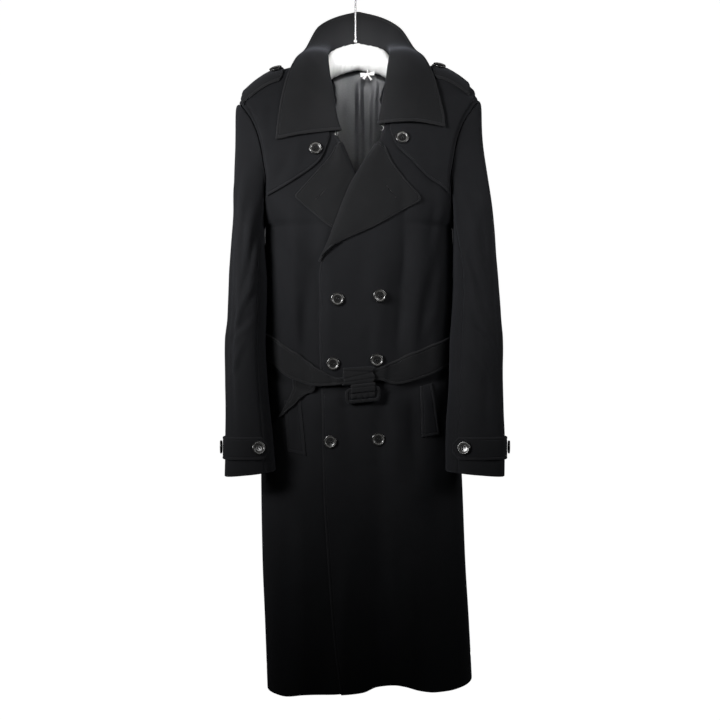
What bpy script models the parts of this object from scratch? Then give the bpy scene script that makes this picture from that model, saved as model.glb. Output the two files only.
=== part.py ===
"""Military greatcoat of black wool on a padded hanger, hanging at rest from the hanger's hook.

Axes: +Z up, the coat's front faces -Y, +X is the wearer's left. The origin is the inside of the
hook's crown, where it rests on a rod. Tables and lengths are in millimetres; the model is in metres.
Each cloth piece is a loft of rows of points, and a Solidify modifier makes its wall. The body is
described by level sections: a point on it has an x and a reach, the length of cloth from the top of
the shoulder down to it.
"""

import math

import bpy
import bmesh
import numpy as np
from mathutils import Vector

MM = 0.001

# Thickness of each cloth, and the spaces left between pieces
WOOL = 2.6
DOUBLE_WOOL = 3.4
LINING = 1.0
SEAM_GAP = 0.3
LAYER_GAP = 0.8

# The body: its middle, the tilt of the shoulders, the underarm, and the roundness of its sections
CENTRE_X = 5.0
LEAN = 0.018
UNDERARM_Z = -483.0
TIP_Z = -250.0
ARMHOLE_HALF_DEPTH = 60.0
TIP_HALF_DEPTH = 25.0
SECTION_POWER = 2.3
SHOULDER_ROUND = 32.0
HEM_Z = -1318.0

# Level sections of the body: z, middle x, half width, depth of the front, depth of the back
BODY = np.array([
    (-140, 5.0, 222, 32, 32),
    (-175, 5.0, 222, 34, 33),
    (-210, 5.0, 222, 41, 37),
    (-250, 5.0, 221, 51, 42),
    (-268, 5.0, 210, 56, 45),
    (-293, 5.0, 193, 64, 50),
    (-330, 5.0, 179, 75, 57),
    (-371, 5.0, 171, 83, 62),
    (-400, 5.0, 167, 87, 66),
    (-483, 5.0, 164, 95, 71),
    (-560, 5.0, 161, 98, 72),
    (-650, 5.0, 160, 96, 68),
    (-730, 5.5, 159, 92, 64),
    (-800, 7.0, 165, 96, 73),
    (-870, 9.0, 175, 101, 82),
    (-930, 10.8, 185, 105, 88),
    (-1098, 15.6, 187, 114, 98),
    (-1204, 21.0, 188, 119, 104),
    (-1340, 27.0, 189, 124, 110),
])

# Height by distance from the middle: of the shoulders' ridge, and of the neckline and the seam
RIDGE = np.array([
    (0, -142), (30, -145), (55, -156), (75, -176), (126, -190), (155, -197), (178, -209.5),
    (204, -231), (221, -250)])
NECK_TOP = np.array([
    (0, -171), (40, -172), (75, -176), (126, -190), (155, -197), (178, -209.5), (204, -231),
    (221, -250)])

# Soft folds: x and z at the top, x and z at the foot, half width, depth
FRONT_FOLDS = (
    (92, -400, 74, -730, 22, -7),
    (133, -450, 128, -720, 20, 5),
    (-70, -500, -88, -730, 24, -6),
    (-118, -480, -120, -720, 20, 4),
    (-40, -900, -62, -1400, 34, -6),
    (20, -800, 60, -1400, 42, -8),
    (95, -820, 118, -1400, 36, 8),
    (-110, -850, -118, -1400, 30, 6),
)
BACK_FOLDS = (
    (-70, -520, -95, -1400, 40, -9),
    (-10, -600, -20, -1400, 34, 8),
    (55, -540, 75, -1400, 40, -9),
    (125, -640, 140, -1400, 30, 6),
    (-125, -640, -135, -1400, 28, 6),
)

# Inner edge of each front: z, x. The wearer's left front laps over the right one.
OVER_EDGE = np.array([
    (-176, 80), (-200, 77), (-240, 69), (-275, 60), (-306, 50), (-335, 42), (-383, 14), (-419, -6.5),
    (-484, -32), (-530, -48.5), (-556, -58.5), (-580, -61.5), (-730, -62.9), (-782, -60.4),
    (-904, -58), (-976, -56.3), (-1054, -51.5), (-1185, -41.6), (-1284, -30), (-1340, -21)])
UNDER_EDGE = np.array([
    (-176, -70), (-200, -67), (-240, -59), (-280, -48), (-315, -36), (-334, -28.5), (-368, -14.7),
    (-389, -5.7), (-542, 58.5), (-565, 70), (-600, 72), (-1000, 77), (-1340, 82)])

# Hem: x, z
OVER_HEM = np.array([
    (-30, -1319.5), (14, -1314), (38, -1305), (71, -1302), (88, -1304), (114, -1311), (145, -1317),
    (169, -1318), (196, -1316), (217, -1312)])
UNDER_HEM = np.array([
    (-165, -1330), (-135, -1330), (-92, -1323), (-43, -1320), (-22, -1317), (0, -1308), (104, -1296)])
BACK_HEM = np.array([(-165, -1330), (-60, -1324), (20, -1326), (100, -1318), (217, -1312)])
HEM_SHARPNESS = 4

# Rows of the body's panels, as shares of the way from the shoulder seam to the underarm and from there
# to the hem, and the number of columns of each panel
ARM_SHARES = [0, 0.006, 0.04, 0.08, 0.12, 0.17, 0.24, 0.33, 0.44, 0.56, 0.69, 0.83, 0.95]
SKIRT_SHARES = [0, 0.05, 0.12, 0.19, 0.26, 0.33, 0.40, 0.48, 0.57, 0.67, 0.78, 0.89, 0.96, 1]
LINING_SHARES = [0.03, 0.07, 0.12, 0.24, 0.44, 0.69, 0.95, 1.0, 1.05, 1.12, 1.19, 1.26, 1.33, 1.40, 1.48,
                 1.57, 1.78, 1.965]
LINING_COLUMNS = 11
OVER_COLUMNS = 16
UNDER_COLUMNS = 13
BACK_COLUMNS = 20

# Sleeves: z, outer x, inner x for each side, then middle y and half depth for both
SLEEVES = np.array([
    (-240, -219, -164, 228, 171, 0, 70),
    (-320, -221.5, -163, 236, 171, -2, 74),
    (-400, -223, -162.5, 245, 171, -6, 76),
    (-463, -224, -163, 253, 171, -12, 76),
    (-530, -227, -161, 257, 175, -20, 74),
    (-588, -229, -161, 261, 178, -27, 72),
    (-651, -231, -162.8, 264.5, 175, -36, 69),
    (-690, -235, -163.7, 267, 171.5, -43, 67),
    (-772, -233.5, -160, 266, 169.7, -60, 61),
    (-862, -232.5, -152.5, 267, 164.8, -83, 54),
    (-940, -231.8, -143, 264.6, 163.8, -100, 50),
])
SLEEVE_POWER = 2.2
SLEEVE_SHARES = [0, 0.006, 0.035, 0.08, 0.15, 0.23, 0.33, 0.45, 0.58, 0.72, 0.86, 1]
CUFF_Z = -928.5
CUFF_TILT = 5.0
SLEEVE_SEAM = math.radians(128)
ARMHOLE_EASE = 4.0

# Lapels, from the gorge to the break: height on the roll line, x and z of the free edge
OVER_LAPEL = np.array([
    (-338, 54, -347), (-352, 60, -362), (-375, 68.5, -378.6), (-397, 91.2, -408),
    (-418, 111.6, -430.6), (-430, 115, -440), (-442, 109.3, -446), (-462, 79.9, -462.4),
    (-492, 34.6, -489.3), (-518, -10.7, -509.9), (-535, -40, -522), (-549, -48, -531)])
UNDER_LAPEL = np.array([
    (-337, -37, -345), (-349, -44, -360), (-366, -56.1, -375.3), (-386, -78.9, -400.2),
    (-408, -101.5, -425.3), (-418, -107.5, -433), (-430, -103.8, -439.5), (-450, -78.9, -461.6),
    (-474, -46, -488.7), (-500, -6, -508), (-520, 28, -522), (-536, 46, -529)])
LAPEL_LIFT = 4.0

# Collar: k from the middle of the back, 0, to the front end, 1. Its section at k runs from the seam
# along the stand to the roll, and over to the free edge.
COLLAR_LEFT = np.array([
    # k, seam x, y, z, roll x, y, z, middle of the fall x, y, z, free edge x, y, z
    (0.00, 5, 26.5, -169, 5, 46, -133, 5, 62, -98, 5, 76, -63),
    (0.18, -30, 25.5, -170, -27, 43, -135, -33, 58, -102, -33, 72, -73),
    (0.34, -60, 20, -171, -46, 30, -144, -58, 42, -118, -70, 52, -97),
    (0.48, -67, 2, -171, -50, 8, -152, -76, 16, -143, -96, 22, -148),
    (0.60, -64, -28, -189, -50, -28, -169, -83, -25, -163, -111.5, -21, -174),
    (0.72, -59, -40, -216, -47, -47, -202, -90, -55, -200, -127, -50, -217),
    (0.86, -48, -49, -258, -41, -68, -246, -92, -71, -252, -137, -62, -264),
    (0.95, -38, -60, -298, -35, -79, -293, -92, -77, -301, -142, -73, -308),
    (1.00, -31, -66, -316, -28, -80, -315, -90, -84, -321, -143.5, -81, -331),
])
COLLAR_RIGHT = np.array([
    (0.00, 5, 26.5, -169, 5, 46, -133, 5, 62, -98, 5, 76, -63),
    (0.18, 40, 25.5, -169, 37, 43, -135, 46, 58, -103, 48, 71, -75),
    (0.34, 70, 20, -169, 57, 30, -143, 70, 42, -119, 84, 50, -100),
    (0.48, 77, 2, -169, 62, 8, -150, 88, 16, -142, 112, 20, -147),
    (0.60, 74, -28, -186, 62, -28, -166, 97, -25, -161, 128.5, -21, -172),
    (0.72, 70, -40, -211, 59, -47, -196, 104, -55, -196, 144, -50, -212),
    (0.86, 61, -49, -248, 54, -68, -238, 108, -71, -240, 154, -62, -254),
    (0.95, 52, -58, -286, 47, -77, -281, 110, -75, -281, 161, -71, -288),
    (1.00, 46, -64, -305, 43, -79, -303, 108, -81, -299, 162, -78, -308),
])
COLLAR_STEPS = [0, 0.1, 0.2, 0.29, 0.37, 0.45, 0.53, 0.61, 0.69, 0.77, 0.86, 0.95, 1]
COLLAR_COLUMNS = [0, 0.45, 0.8, 1, 1.2, 1.6, 2.3, 3]

# Free edge of each storm flap, from the armhole to the neck: x, z. Its inner edge: z, x.
STORM_RIGHT = np.array([(-157, -431), (-135, -420), (-113.5, -407.6), (-79.4, -384.9), (-61.1, -366.6),
                        (-49.7, -339.3), (-47, -326)])
STORM_LEFT = np.array([(166, -426), (149, -412), (126.1, -398.5), (96.4, -368), (76, -348.4),
                       (67.9, -332.3), (62, -316)])
STORM_INNER = np.array([(-500, 47), (-300, 48), (-240, 62), (-176, 80)])

# Belt: x, z of its upper edge and z of its lower edge on the front; the back is level
BELT_FRONT = np.array([
    (-155, -682, -731), (-145, -687, -737), (-109, -711, -762), (-63, -740, -774.5),
    (-30, -755, -772), (10, -750, -765), (42, -738, -764), (72, -725, -771), (121, -705, -759),
    (165, -687, -738), (170, -684, -734)])
BELT_BACK = (-679, -729)
BELT_GAP = 2.3
BELT_TAIL = np.array([
    # share of its length, x and z of one edge, x and z of the other, distance out
    (0.0, -112, -750, -64, -756, 0.2), (0.25, -113, -776, -68, -779, 1), (0.5, -123, -800, -96, -797, 4.4),
    (0.75, -134, -826, -115, -817, 5), (1.0, -146, -846, -128, -840, 5.5)])

# Turned section of a button: radius, height. Places of the buttons: x, z.
BUTTON_PROFILE = ((0.0, 0.0), (9.2, 0.0), (12.0, 2.0), (11.0, 4.0), (8.4, 3.9), (7.0, 2.6))
FRONT_BUTTONS = ((-31.4, -618.6), (42.1, -612.6), (-39.3, -733.5), (38.1, -727.0), (-43.2, -872.6),
                 (41.2, -868.4))
STORM_BUTTONS = ((-70.7, -348.9), (83.6, -331.0))

# Hanger: distance from the middle and top of the pad
PAD_TOP = np.array([(0, -140.5), (12, -143), (30, -147), (50, -156), (60, -169), (72, -182.5), (90, -187),
                    (126, -193.3), (145, -197.7), (155, -201), (178, -215), (190, -226)])
PAD_HALF_HEIGHT = 26.0
PAD_HALF_DEPTH = 21.5
PAD_HALF_LENGTH = 186.0
PAD_SIDES = 12
WIRE = 3.2
HOOK_RADIUS = 24.0

COLOURS = {
    "wool": ((0.012, 0.012, 0.014), 0.9, 0.0),
    "lining": ((0.055, 0.055, 0.06), 0.4, 0.0),
    "horn": ((0.02, 0.02, 0.02), 0.2, 0.0),
    "satin": ((0.86, 0.86, 0.84), 0.5, 0.0),
    "wire": ((0.72, 0.72, 0.7), 0.3, 1.0),
}


def clear_scene():
    for old in list(bpy.data.objects):
        bpy.data.objects.remove(old)


def material(name):
    """The Principled material of this name, made once."""
    made = bpy.data.materials.get(name)
    if made:
        return made
    colour, roughness, metallic = COLOURS[name]
    made = bpy.data.materials.new(name)
    made.use_nodes = True
    shader = made.node_tree.nodes["Principled BSDF"]
    shader.inputs["Base Color"].default_value = (*colour, 1)
    shader.inputs["Roughness"].default_value = roughness
    shader.inputs["Metallic"].default_value = metallic
    return made


def collection():
    made = bpy.data.collections.get("greatcoat")
    if made is None:
        made = bpy.data.collections.new("greatcoat")
        bpy.context.scene.collection.children.link(made)
    return made


def add_object(name, data, material_name):
    obj = bpy.data.objects.new(name, data)
    if not data.materials:
        data.materials.append(material(material_name))
    collection().objects.link(obj)
    return obj


def smooth(table, x, column=1):
    """A column of a table at x, on a curve through its rows that never overshoots them."""
    rows = table[np.argsort(table[:, 0])]
    xs, ys = rows[:, 0].astype(float), rows[:, column].astype(float)
    step = np.diff(xs)
    slope = np.diff(ys) / step
    tangent = np.zeros(len(xs))
    tangent[0], tangent[-1] = slope[0], slope[-1]
    same = slope[:-1] * slope[1:] > 0
    tangent[1:-1][same] = 2 * slope[:-1][same] * slope[1:][same] / (slope[:-1] + slope[1:])[same]
    x = np.clip(np.asarray(x, float), xs[0], xs[-1])
    i = np.clip(np.searchsorted(xs, x) - 1, 0, len(xs) - 2)
    t = (x - xs[i]) / step[i]
    return (ys[i] * (2 * t**3 - 3 * t**2 + 1) + ys[i + 1] * (3 * t**2 - 2 * t**3)
            + step[i] * (tangent[i] * (t**3 - 2 * t**2 + t) + tangent[i + 1] * (t**3 - t**2)))


def smoothstep(low, high, x):
    t = np.clip((np.asarray(x, float) - low) / (high - low), 0, 1)
    return t * t * (3 - 2 * t)


def ridge_z(x):
    return smooth(RIDGE, np.abs(x - CENTRE_X)) + LEAN * (x - CENTRE_X)


def neck_z(x):
    return smooth(NECK_TOP, np.abs(x - CENTRE_X)) + LEAN * (x - CENTRE_X)


def level_at(x, reach):
    """Height of the cloth at a reach: round over the shoulder's ridge, then straight down."""
    quarter = SHOULDER_ROUND * math.pi / 2
    turn = np.clip(reach, 0, quarter) / SHOULDER_ROUND
    return ridge_z(x) - SHOULDER_ROUND * (1 - np.cos(turn)) - np.maximum(reach - quarter, 0)


def reach_at(x, z):
    drop = ridge_z(x) - z
    turn = np.arccos(np.clip(1 - drop / SHOULDER_ROUND, -1, 1))
    over = drop > SHOULDER_ROUND
    straight = SHOULDER_ROUND * (math.pi / 2 - 1) + drop
    return np.where(over, straight, SHOULDER_ROUND * np.minimum(turn, math.pi / 2))


def side_x(z, side):
    """The body's edge at a level: the armhole above the underarm, and the side seam below it."""
    return smooth(BODY, z, 1) + side * smooth(BODY, z, 2)


def fold_sum(folds, x, z):
    total = 0 * x
    for x0, z0, x1, z1, width, depth in folds:
        share = (z - z0) / (z1 - z0)
        along = smoothstep(0, 0.35, share) * (1 if z1 < -1350 else 1 - smoothstep(0.75, 1.1, share))
        total = total + depth * along * np.exp(-(((x - x0 - (x1 - x0) * share) / width) ** 2))
    return total


def base(x, reach, face):
    """A point of the body's outer surface: face is -1 for the front and 1 for the back."""
    x, reach = np.broadcast_arrays(np.asarray(x, float), np.asarray(reach, float))
    z = level_at(x, reach)
    across = np.clip(np.abs(x - smooth(BODY, z, 1)) / smooth(BODY, z, 2), 0, 1)
    profile = (1 - across**SECTION_POWER) ** (1 / SECTION_POWER)
    middle = smooth(BODY, z, 3 if face < 0 else 4)
    tip = TIP_Z + LEAN * (x - CENTRE_X)
    share = np.clip((z - UNDERARM_Z) / (tip - UNDERARM_Z), 0, 1)
    hole = ARMHOLE_HALF_DEPTH * 2 * np.sqrt(share * (1 - share))
    edge = np.hypot(hole, TIP_HALF_DEPTH * smoothstep(-330, -255, z))
    folds = fold_sum(FRONT_FOLDS if face < 0 else BACK_FOLDS, x, z) * profile
    turn = np.clip(reach / SHOULDER_ROUND, 0, math.pi / 2)
    y = face * (edge + (middle - edge) * profile + folds) * np.sin(turn)
    return np.stack([x, y, z], -1)


def unit(vectors):
    return vectors / np.maximum(np.linalg.norm(vectors, axis=-1, keepdims=True), 1e-9)


def body_point(x, reach, face, out=0.0):
    """A point of the body's surface, moved out of it."""
    along = base(x + 1.0, reach, face) - base(x - 1.0, reach, face)
    down = base(x, np.asarray(reach) + 1.0, face) - base(x, np.maximum(np.asarray(reach) - 1.0, 0), face)
    normal = face * unit(np.cross(along, down))
    return base(x, reach, face) + normal * np.asarray(out, float)[..., None]


def on_body(x, z, face, out=0.0):
    return body_point(x, reach_at(x, z), face, out)


def resample(points, count, gap):
    """Points at even distances along a polyline, with a gap at each end and a close point beside it."""
    lengths = np.concatenate([[0], np.cumsum(np.linalg.norm(np.diff(points, axis=0), axis=1))])
    inner = np.linspace(gap, lengths[-1] - gap, count - 2)
    wanted = np.concatenate([[gap, gap + 1.5], inner[1:-1], [lengths[-1] - gap - 1.5, lengths[-1] - gap]])
    return np.stack([np.interp(wanted, lengths, points[:, k]) for k in range(3)], 1)


def shell(name, rows, thickness, material_name, flip=False, ring=False):
    """A cloth wall: a grid of points on the outer side, in mm, that Solidify thickens inwards."""
    rows = np.asarray(rows, float) * MM
    height, width = rows.shape[:2]
    mesh = bpy.data.meshes.new(name)
    work = bmesh.new()
    points = [[work.verts.new(p) for p in row] for row in rows]
    for i in range(height - 1):
        for j in range(width if ring else width - 1):
            k = (j + 1) % width
            corners = [points[i][j], points[i + 1][j], points[i + 1][k], points[i][k]]
            work.faces.new(corners[::-1] if flip else corners)
    work.to_mesh(mesh)
    work.free()
    mesh.shade_smooth()
    obj = add_object(name, mesh, material_name)
    wall = obj.modifiers.new("wall", "SOLIDIFY")
    wall.thickness = thickness * MM
    wall.offset = -1
    wall.use_quality_normals = True
    return obj


def body_row(share, side, inner, face, hem, count, out):
    """One row of a body panel, from the armhole or side seam to the panel's inner edge.

    share runs 0 to 1 from the shoulder seam to the underarm, and 1 to 2 from there to the hem. inner is
    a table of z and x, or the other side of the body.
    """
    def level(x):
        start = reach_at(x, neck_z(x))
        under = reach_at(x, UNDERARM_Z)
        hem_z = smooth(hem, x)
        skirt = max(share - 1, 0)
        extra = skirt * (UNDERARM_Z - HEM_Z) + (HEM_Z - hem_z) * skirt**HEM_SHARPNESS
        return start + min(share, 1) * (under - start) + extra

    def side_point(sign):
        x = CENTRE_X + sign * 200.0
        for _ in range(12):
            x = side_x(level_at(x, level(x)), sign)
        return x

    start_x = side_point(side)
    if isinstance(inner, int):
        end_x = side_point(inner)
    else:
        end_x = inner[0, 1]
        for _ in range(12):
            end_x = smooth(inner, level_at(end_x, level(end_x)))
    even = (1 - np.cos(np.linspace(0, math.pi, 500))) / 2
    x = start_x + (end_x - start_x) * even
    reach = level(x)
    points = base(x, reach, face)
    along = np.gradient(points, axis=0)
    down = base(x, reach + 1.0, face) - base(x, np.maximum(reach - 1.0, 0), face)
    normal = unit(np.cross(along, down)) * face * np.sign(end_x - start_x)
    points = points + normal * np.asarray(out(x, points[:, 2]), float)[:, None]
    if share == 0:
        points[:, 1] = face * np.maximum(SEAM_GAP / 2 + 0.1, np.abs(points[:, 1]))
    return resample(points, count, SEAM_GAP / 2)


def over_out(x, z):
    """The wearer's left front stands out from the right front where it laps over it."""
    lapped = (1 - smoothstep(92, 165, x)) * smoothstep(-285, -360, z)
    lapel = (1 - smoothstep(62, 165, x)) * smoothstep(-640, -540, z) * smoothstep(-320, -400, z)
    return lapped * (WOOL + 1.2) + lapel * (DOUBLE_WOOL + 1.2)


def no_out(x, z):
    return 0 * x


def body():
    shares = ARM_SHARES + [1 + s for s in SKIRT_SHARES]
    panels = (
        ("front_left", 1, OVER_EDGE, -1, OVER_HEM, OVER_COLUMNS, over_out),
        ("front_right", -1, UNDER_EDGE, -1, UNDER_HEM, UNDER_COLUMNS, no_out),
        ("back", 1, -1, 1, BACK_HEM, BACK_COLUMNS, no_out),
    )
    for name, side, inner, face, hem, count, out in panels:
        rows = [body_row(s, side, inner, face, hem, count, out) for s in shares]
        shell(name, rows, WOOL, "wool", flip=(side > 0) != (face > 0))


def back_lining():
    """The lining of the back, with the pleat down its middle that shows in the neck opening."""
    def pleat(x, z):
        fold = 5.0 * np.exp(-(((x - 6) / 7.0) ** 2)) - 3.0 * np.exp(-(((x - 24) / 6.0) ** 2))
        return -(WOOL + LINING + 3.0) - np.clip(fold, 0, 9) * smoothstep(-185, -230, z)

    rows = []
    for share in LINING_SHARES:
        row = body_row(share, 1, -1, 1, BACK_HEM, 90, pleat)
        inset = 14 + 174 * smoothstep(-350, -235, row[45][2])
        rows.append(resample(row, LINING_COLUMNS, inset))
    shell("lining_back", rows, LINING, "lining")


def sleeve_point(side, turn, share):
    """A point of a sleeve: turn is 0 on its outer side, positive at the front and pi underneath."""
    turn, share = np.broadcast_arrays(np.asarray(turn, float), np.asarray(share, float))
    tip = TIP_Z + LEAN * side * 221
    z0 = (tip + UNDERARM_Z) / 2 + (tip - UNDERARM_Z) / 2 * np.cos(turn)
    x0 = side_x(z0, side)
    reach = reach_at(x0, z0)
    hole = np.where(np.sin(turn) > 0, base(x0, reach, -1)[..., 1], base(x0, reach, 1)[..., 1])
    z = z0 + (CUFF_Z - CUFF_TILT * np.cos(turn) - z0) * share
    outer = smooth(SLEEVES, z, 1 if side < 0 else 3)
    inner = smooth(SLEEVES, z, 2 if side < 0 else 4)
    cosine = np.sign(np.cos(turn)) * np.abs(np.cos(turn)) ** (2 / SLEEVE_POWER)
    sine = np.sign(np.sin(turn)) * np.abs(np.sin(turn)) ** (2 / SLEEVE_POWER)
    tube_x = (outer + inner) / 2 + (outer - inner) / 2 * cosine
    tube_y = smooth(SLEEVES, z, 5) - smooth(SLEEVES, z, 6) * sine
    mix = smoothstep(0, 0.24, share)
    start = x0 + side * (0.9 + ARMHOLE_EASE * (1 - np.exp(-share / 0.004)))
    x = start + (tube_x - start) * mix
    y = hole + (tube_y - hole) * mix
    return np.stack([x, y, z], -1)


def on_sleeve(side, turn, share, out):
    around = sleeve_point(side, turn + 0.02, share) - sleeve_point(side, turn - 0.02, share)
    down = sleeve_point(side, turn, share + 0.004) - sleeve_point(side, turn, share - 0.004)
    normal = unit(np.cross(around, down)) * side
    return sleeve_point(side, turn, share) + normal * np.asarray(out, float)[..., None]


def sleeves():
    seam = SLEEVE_SEAM
    gap = 0.006
    near = 0.022
    upper = np.concatenate([[-seam + gap, -seam + near], np.linspace(-seam, seam, 13)[1:-1],
                            [seam - near, seam - gap]])
    under = np.concatenate([[seam + gap, seam + near], np.linspace(seam, 2 * math.pi - seam, 6)[1:-1],
                            [2 * math.pi - seam - near, 2 * math.pi - seam - gap]])
    for side, word in ((1, "left"), (-1, "right")):
        for half, turns in (("upper", upper), ("under", under)):
            rows = [sleeve_point(side, turns, share) for share in SLEEVE_SHARES]
            shell(f"sleeve_{word}_{half}", rows, WOOL, "wool", flip=side > 0)


def lapel(name, edge_table, table, side, under_out):
    """A lapel folds round the front's edge and lies on it, from the gorge to the break."""
    rows = []
    radius = WOOL / 2 + 0.6 + DOUBLE_WOOL
    for row in table:
        roll = np.array([smooth(edge_table, row[0]), row[0]])
        across = row[1:] - roll
        length = np.linalg.norm(across)
        across = across / length
        share = (row[0] - table[0, 0]) / (table[-1, 0] - table[0, 0])
        lift = LAPEL_LIFT * (1 - share) + 0.4
        points = []
        for angle in (0, 30, 62):
            turn = math.radians(angle)
            points.append((roll - across * radius * math.cos(turn), radius * math.sin(turn) - WOOL / 2))
        for reach in (0.06, 0.2, 0.42, 0.7, 0.93, 1.0):
            place = roll + across * length * reach
            rise = lift * math.sin(math.pi * min(1, reach + 0.25)) ** 2
            if side < 0:
                rise = rise * float(smoothstep(6, 26, smooth(OVER_EDGE, place[1]) - place[0]))
            points.append((place, radius - WOOL / 2 + 0.5 + rise))
        flat = np.array([p for p, _ in points])
        out = np.array([o for _, o in points])
        rows.append(on_body(flat[:, 0], flat[:, 1], -1, out + under_out(flat[:, 0], flat[:, 1])))
    return shell(name, rows, DOUBLE_WOOL, "wool", flip=side < 0)


def collar():
    rows = []
    steps = [-k for k in COLLAR_STEPS[:0:-1]] + COLLAR_STEPS
    for k in steps:
        table = COLLAR_LEFT if k < 0 else COLLAR_RIGHT
        points = np.array([smooth(table, abs(k), c) for c in range(1, 13)]).reshape(4, 3)
        rows.append(spline(points, COLLAR_COLUMNS))
    return shell("collar", rows, DOUBLE_WOOL, "wool")


def spline(points, places):
    """Points on a Catmull-Rom curve through the given ones, at places along it."""
    ends = np.vstack([2 * points[0] - points[1], points, 2 * points[-1] - points[-2]])
    result = []
    for place in places:
        i = min(int(place), len(points) - 2)
        t = place - i
        a, b, c, d = ends[i:i + 4]
        bend = (2 * a - 5 * b + 4 * c - d) * t**2
        result.append(0.5 * (2 * b + (c - a) * t + bend + (3 * b - a - 3 * c + d) * t**3))
    return np.array(result)


def storm_flap(name, table, side):
    """A flap over the chest from the shoulder to its free edge, along the armhole."""
    out = WOOL + LAYER_GAP + (1.6 if side > 0 else 1.4)
    rows = []
    for share in (0.008, 0.05, 0.1, 0.15, 0.21, 0.32, 0.48, 0.66, 0.84, 1.0):
        row = []
        for place in (0, 0.05, 0.14, 0.28, 0.44, 0.6, 0.8, 1):
            row_at = place * (len(table) - 1)
            foot = np.array([np.interp(row_at, range(len(table)), table[:, c]) for c in (0, 1)])
            armhole = side_x(foot[1], side)
            neck = inner_x(foot[1], side)
            mix = (foot[0] - armhole) / (neck - armhole)
            reach = reach_at(foot[0], foot[1]) * share
            x = foot[0]
            for _ in range(6):
                z = level_at(x, reach)
                x = side_x(z, side) * (1 - mix) + inner_x(z, side) * mix
            row.append((x, reach))
        row = np.array(row)
        z = level_at(row[:, 0], row[:, 1])
        lap = over_out(row[:, 0], z) if side > 0 else 0 * z
        rows.append(body_point(row[:, 0], row[:, 1], -1, out + lap))
    return shell(name, rows, WOOL, "wool", flip=side > 0)


def inner_x(z, side):
    inner = smooth(STORM_INNER, z)
    return inner + 12 if side > 0 else -(inner - 2)


def epaulette(name, side):
    """A strap along the shoulder, just in front of its ridge."""
    rows = []
    outer, inner = (-203, -129) if side < 0 else (205, 137)
    for share, trim in ((0, 0), (0.12, 0), (0.3, 0), (0.5, 0), (0.7, 0), (0.88, 0), (1, 6)):
        row = []
        for place in (0, 0.25, 0.5, 0.75, 1):
            reach = -2 + 47 * place + trim * (1 - 2 * place) * 0.9
            x = outer + (inner - outer) * (share - (0.05 if trim else 0) * abs(2 * place - 1))
            row.append(body_point(x, abs(reach), -1 if reach > 0 else 1, 2 * WOOL + 2 * LAYER_GAP + 2.0))
        rows.append(row)
    return shell(name, rows, WOOL + 0.4, "wool", flip=side < 0)


def cuff_strap(name, side):
    top, foot = -863.0, -903.0
    rows = []
    for turn in np.radians([-62, -45, -28, -10, 8, 26, 44, 62, 80, 98, 114, 128, 138]):
        tip = smoothstep(math.radians(122), math.radians(138), turn)
        row = []
        for place in (0, 0.5, 1):
            z = top + (foot - top) * place
            z = z + (0.5 - place) * -24 * tip
            share = sleeve_share(side, turn, z)
            row.append(on_sleeve(side, turn, share, LAYER_GAP + WOOL + 0.8))
        rows.append(row)
    return shell(name, rows, WOOL + 0.4, "wool", flip=side < 0)


def sleeve_share(side, turn, z):
    tip = TIP_Z + LEAN * side * 221
    z0 = (tip + UNDERARM_Z) / 2 + (tip - UNDERARM_Z) / 2 * np.cos(turn)
    return (z - z0) / (CUFF_Z - CUFF_TILT * np.cos(turn) - z0)


def belt_row(place, count):
    """One closed line of the belt round the waist, place 0 at its upper edge and 1 at its lower."""
    even = (1 - np.cos(np.linspace(0, math.pi, 400))) / 2
    loop = []
    for face in (-1, 1):
        place_x = 2 * (even if face < 0 else even[::-1]) - 1
        x = smooth(BODY, -705.0, 1) + place_x * smooth(BODY, -705.0, 2)
        if face < 0:
            z = smooth(BELT_FRONT, x, 1) * (1 - place) + smooth(BELT_FRONT, x, 2) * place
        else:
            level = BELT_BACK[0] * (1 - place) + BELT_BACK[1] * place
            ends = smooth(BELT_FRONT, x, 1) * (1 - place) + smooth(BELT_FRONT, x, 2) * place
            z = level + (ends - level) * smoothstep(125, 160, np.abs(x - CENTRE_X))
        x = smooth(BODY, z, 1) + place_x * smooth(BODY, z, 2)
        points = base(x, reach_at(x, z), face)
        stand = np.where(face < 0, front_out_smooth(x, z) + belt_stand(x), 0)
        loop.append(np.column_stack([points, stand]))
    points = np.vstack([loop[0][:-1], loop[1][:-1]])
    along = np.roll(points[:, :2], -1, axis=0) - np.roll(points[:, :2], 1, axis=0)
    normal = unit(np.column_stack([along[:, 1], -along[:, 0]]))
    out = points[:, 3] + DOUBLE_WOOL + BELT_GAP
    points[:, :2] += normal * out[:, None]
    closed = np.vstack([points[:, :3], points[:1, :3]])
    lengths = np.concatenate([[0], np.cumsum(np.linalg.norm(np.diff(closed, axis=0), axis=1))])
    wanted = np.linspace(0, lengths[-1], count + 1)[:-1]
    return np.stack([np.interp(wanted, lengths, closed[:, k]) for k in range(3)], 1)


def front_out_smooth(x, z):
    return over_out(x, z) * smoothstep(-84, -70, x)


def belt_stand(x):
    """The belt stands off its own free end, which hangs down behind it."""
    tail = 4.6 * smoothstep(-140, -122, x) * smoothstep(-30, -50, x)
    knot = 5.5 * smoothstep(-44, -30, x) * smoothstep(62, 48, x)
    return tail + knot


def belt():
    rows = [belt_row(place, 48) for place in (0, 0.5, 1)]
    shell("belt", rows, DOUBLE_WOOL, "wool", ring=True)
    rows = []
    for share in (0, 0.2, 0.4, 0.6, 0.8, 1):
        x0, z0, x1, z1, away = [smooth(BELT_TAIL, share, c) for c in range(1, 6)]
        x = np.linspace(x0, x1, 4)
        z = np.linspace(z0, z1, 4)
        rows.append(on_body(x, z, -1, DOUBLE_WOOL + 0.6 + away + front_out_smooth(x, z)))
    shell("belt_tail", rows, DOUBLE_WOOL, "wool")


def front_y(x, z, out):
    return on_body(x, z, -1, out + front_out_smooth(x, z))[..., 1]


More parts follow.
